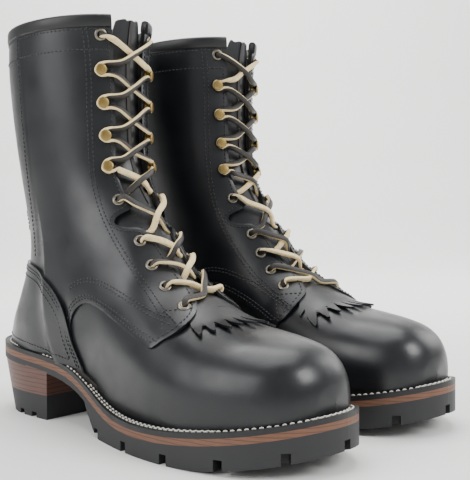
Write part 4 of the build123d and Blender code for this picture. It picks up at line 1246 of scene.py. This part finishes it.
class BOOTS_OT_laces(bpy.types.Operator):
    """Rawhide laces through the eyelets and round the hooks, and their loose ends"""
    bl_idname = "boots.laces"
    bl_label = "Laces"

    def execute(self, context):
        finish = finishes()
        sizes = context.scene.boot_sizes
        wide, thick = sizes.lace_width * 1000, sizes.lace_thickness * 1000
        halves, kinds = [], []
        for first in (-1, 1):
            points, faces, own_kinds = ribbon(lace_route(first), wide, thick)
            halves.append((points, faces))
            kinds += own_kinds
        make_pair("laced_lace", *merged(halves), "lace_leather",
                  [finish["lace_face"], finish["lace_side"]], ("lace",), kinds=kinds, crease=50)
        for side, name in ((-1, "outer"), (1, "inner")):
            start, out = TAIL_START[side]
            out = np.array(out) / np.linalg.norm(out)
            route = [np.array(start) - out * 6.2]
            for inward, down in TAIL:
                route.append(route[-1] - out * inward - np.array((0, 0, 1.0)) * down)
            for boot in ("right", "left"):
                data = bpy.data.curves.new(f"{boot}_lace_end_{name}", "CURVE")
                data.dimensions = "3D"
                spline = data.splines.new("NURBS")
                spline.points.add(len(route) - 1)
                for knot, spot in zip(spline.points, place(route, boot)):
                    knot.co = (*spot, 1.0)
                spline.order_u = 3
                spline.use_endpoint_u = True
                data.bevel_depth = 0.0016
                data.bevel_resolution = 3
                data.resolution_u = 16
                data.use_fill_caps = True
                data.materials.append(finish["lace_side"])
                tail = bpy.data.objects.new(data.name, data)
                context.scene.collection.objects.link(tail)
                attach(tail, f"{boot}_boot")
                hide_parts(f"{boot}_lace_tail_{name}")
        return {"FINISHED"}


# the floor's bend up into a wall: distance back, height
SWEEP = [(-3.0, 0.0), (1.6, 0.0), (1.9, 0.03), (2.15, 0.12), (2.3, 0.3), (2.38, 0.6), (2.4, 3.2)]
# name, place, target, width in metres and power in watts of each soft light
LIGHTS = (("key light", (0.35, -1.7, 1.35), (0, 0, 0.1), 0.9, 30.0),
          ("side light", (-1.7, 0.45, 1.0), (0, 0, 0.15), 1.3, 26.0),
          ("far light", (1.7, -0.5, 0.9), (0, 0, 0.1), 0.9, 12.0),
          ("top light", (0.2, 0.3, 2.2), (0, 0, 0.1), 1.8, 42.0),
          ("wall light", (0.6, 0.5, 1.9), (1.8, 1.6, 0.9), 1.4, 60.0))
# the camera's place, what it looks at, its tilt in degrees and its lens and film width in mm
EYE, LOOK_AT, TILT, LENS, FILM = (-0.5037, -0.4738, 0.1630), (0.0686, 0.0406, 0.1323), -0.45, 67.06, 36.0


class BOOTS_OT_stage(bpy.types.Operator):
    """Pale floor, soft studio lights and the camera"""
    bl_idname = "boots.stage"
    bl_label = "Stage"

    def execute(self, context):
        scene = context.scene
        mesh = bpy.data.meshes.new("floor")
        verts = []
        away, aside = Vector((0.743, 0.669, 0)), Vector((0.669, -0.743, 0))
        for distance, height in SWEEP:
            for wide in (-4.0, 4.0):
                spot = away * distance + aside * wide
                verts.append((spot.x, spot.y, height))
        mesh.from_pydata(verts, [], [(2 * k, 2 * k + 1, 2 * k + 3, 2 * k + 2) for k in range(len(SWEEP) - 1)])
        mesh.polygons.foreach_set("use_smooth", [True] * len(mesh.polygons))
        # smooth pale board
        pale, tree, shader, where = start_material("Pale floor", Roughness=0.9, IOR=1.45)
        tree.links.new(mottle(tree, where, tuple(scene.boot_colours.floor), 0.01, 0.2),
                       shader.inputs["Base Color"])
        mesh.materials.append(pale)
        floor = bpy.data.objects.new("floor", mesh)
        scene.collection.objects.link(floor)
        for name, spot, target, wide, power in LIGHTS:
            data = bpy.data.lights.new(name, "AREA")
            data.shape = "SQUARE"
            data.size = wide
            data.energy = power
            lamp = bpy.data.objects.new(name, data)
            lamp.location = spot
            aim = Vector(target) - Vector(spot)
            lamp.rotation_euler = aim.to_track_quat("-Z", "Y").to_euler()
            scene.collection.objects.link(lamp)
        world = bpy.data.worlds.new("studio")
        world.use_nodes = True
        world.node_tree.nodes["Background"].inputs["Color"].default_value = (1, 1, 1, 1)
        world.node_tree.nodes["Background"].inputs["Strength"].default_value = 0.5
        scene.world = world
        eye = Vector(EYE)
        ahead = (Vector(LOOK_AT) - eye).normalized()
        right = ahead.cross(Vector((0, 0, 1))).normalized()
        level = right.cross(ahead)
        roll = math.radians(TILT)
        up = level * math.cos(roll) - right * math.sin(roll)
        right = ahead.cross(up)
        data = bpy.data.cameras.new("camera")
        data.lens = LENS
        data.sensor_width = FILM
        data.clip_start = 0.01
        camera = bpy.data.objects.new("camera", data)
        camera.matrix_world = Matrix.Translation(eye) @ Matrix((right, up, -ahead)).transposed().to_4x4()
        scene.collection.objects.link(camera)
        scene.camera = camera
        return {"FINISHED"}


PIECES = (BOOTS_OT_stage, BOOTS_OT_laces, BOOTS_OT_uppers, BOOTS_OT_linings, BOOTS_OT_bindings,
          BOOTS_OT_tongues, BOOTS_OT_stitching, BOOTS_OT_soles, BOOTS_OT_hardware)


class BOOTS_PT_panel(bpy.types.Panel):
    """The boots' sizes, colours and pieces"""
    bl_idname = "BOOTS_PT_panel"
    bl_label = "Work boots"
    bl_space_type = "VIEW_3D"
    bl_region_type = "UI"
    bl_category = "Boots"

    def draw(self, context):
        for piece in PIECES:
            self.layout.operator(piece.bl_idname)
        for group, kind in ((context.scene.boot_sizes, BootSizes), (context.scene.boot_colours, BootColours)):
            for key in kind.__annotations__:
                self.layout.prop(group, key)


CLASSES = (BootSizes, BootColours, *PIECES, BOOTS_PT_panel)


def register():
    for kind in CLASSES:
        bpy.utils.register_class(kind)
    bpy.types.Scene.boot_sizes = bpy.props.PointerProperty(type=BootSizes)
    bpy.types.Scene.boot_colours = bpy.props.PointerProperty(type=BootColours)


def unregister():
    del bpy.types.Scene.boot_colours
    del bpy.types.Scene.boot_sizes
    for kind in reversed(CLASSES):
        bpy.utils.unregister_class(kind)


def main():
    """Register the sizes and colours of the finished pieces as settings, and make every piece."""
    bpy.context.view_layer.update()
    register()
    for piece in PIECES:
        group, name = piece.bl_idname.split(".")
        getattr(getattr(bpy.ops, group), name)()


if __name__ == "__main__":
    main()
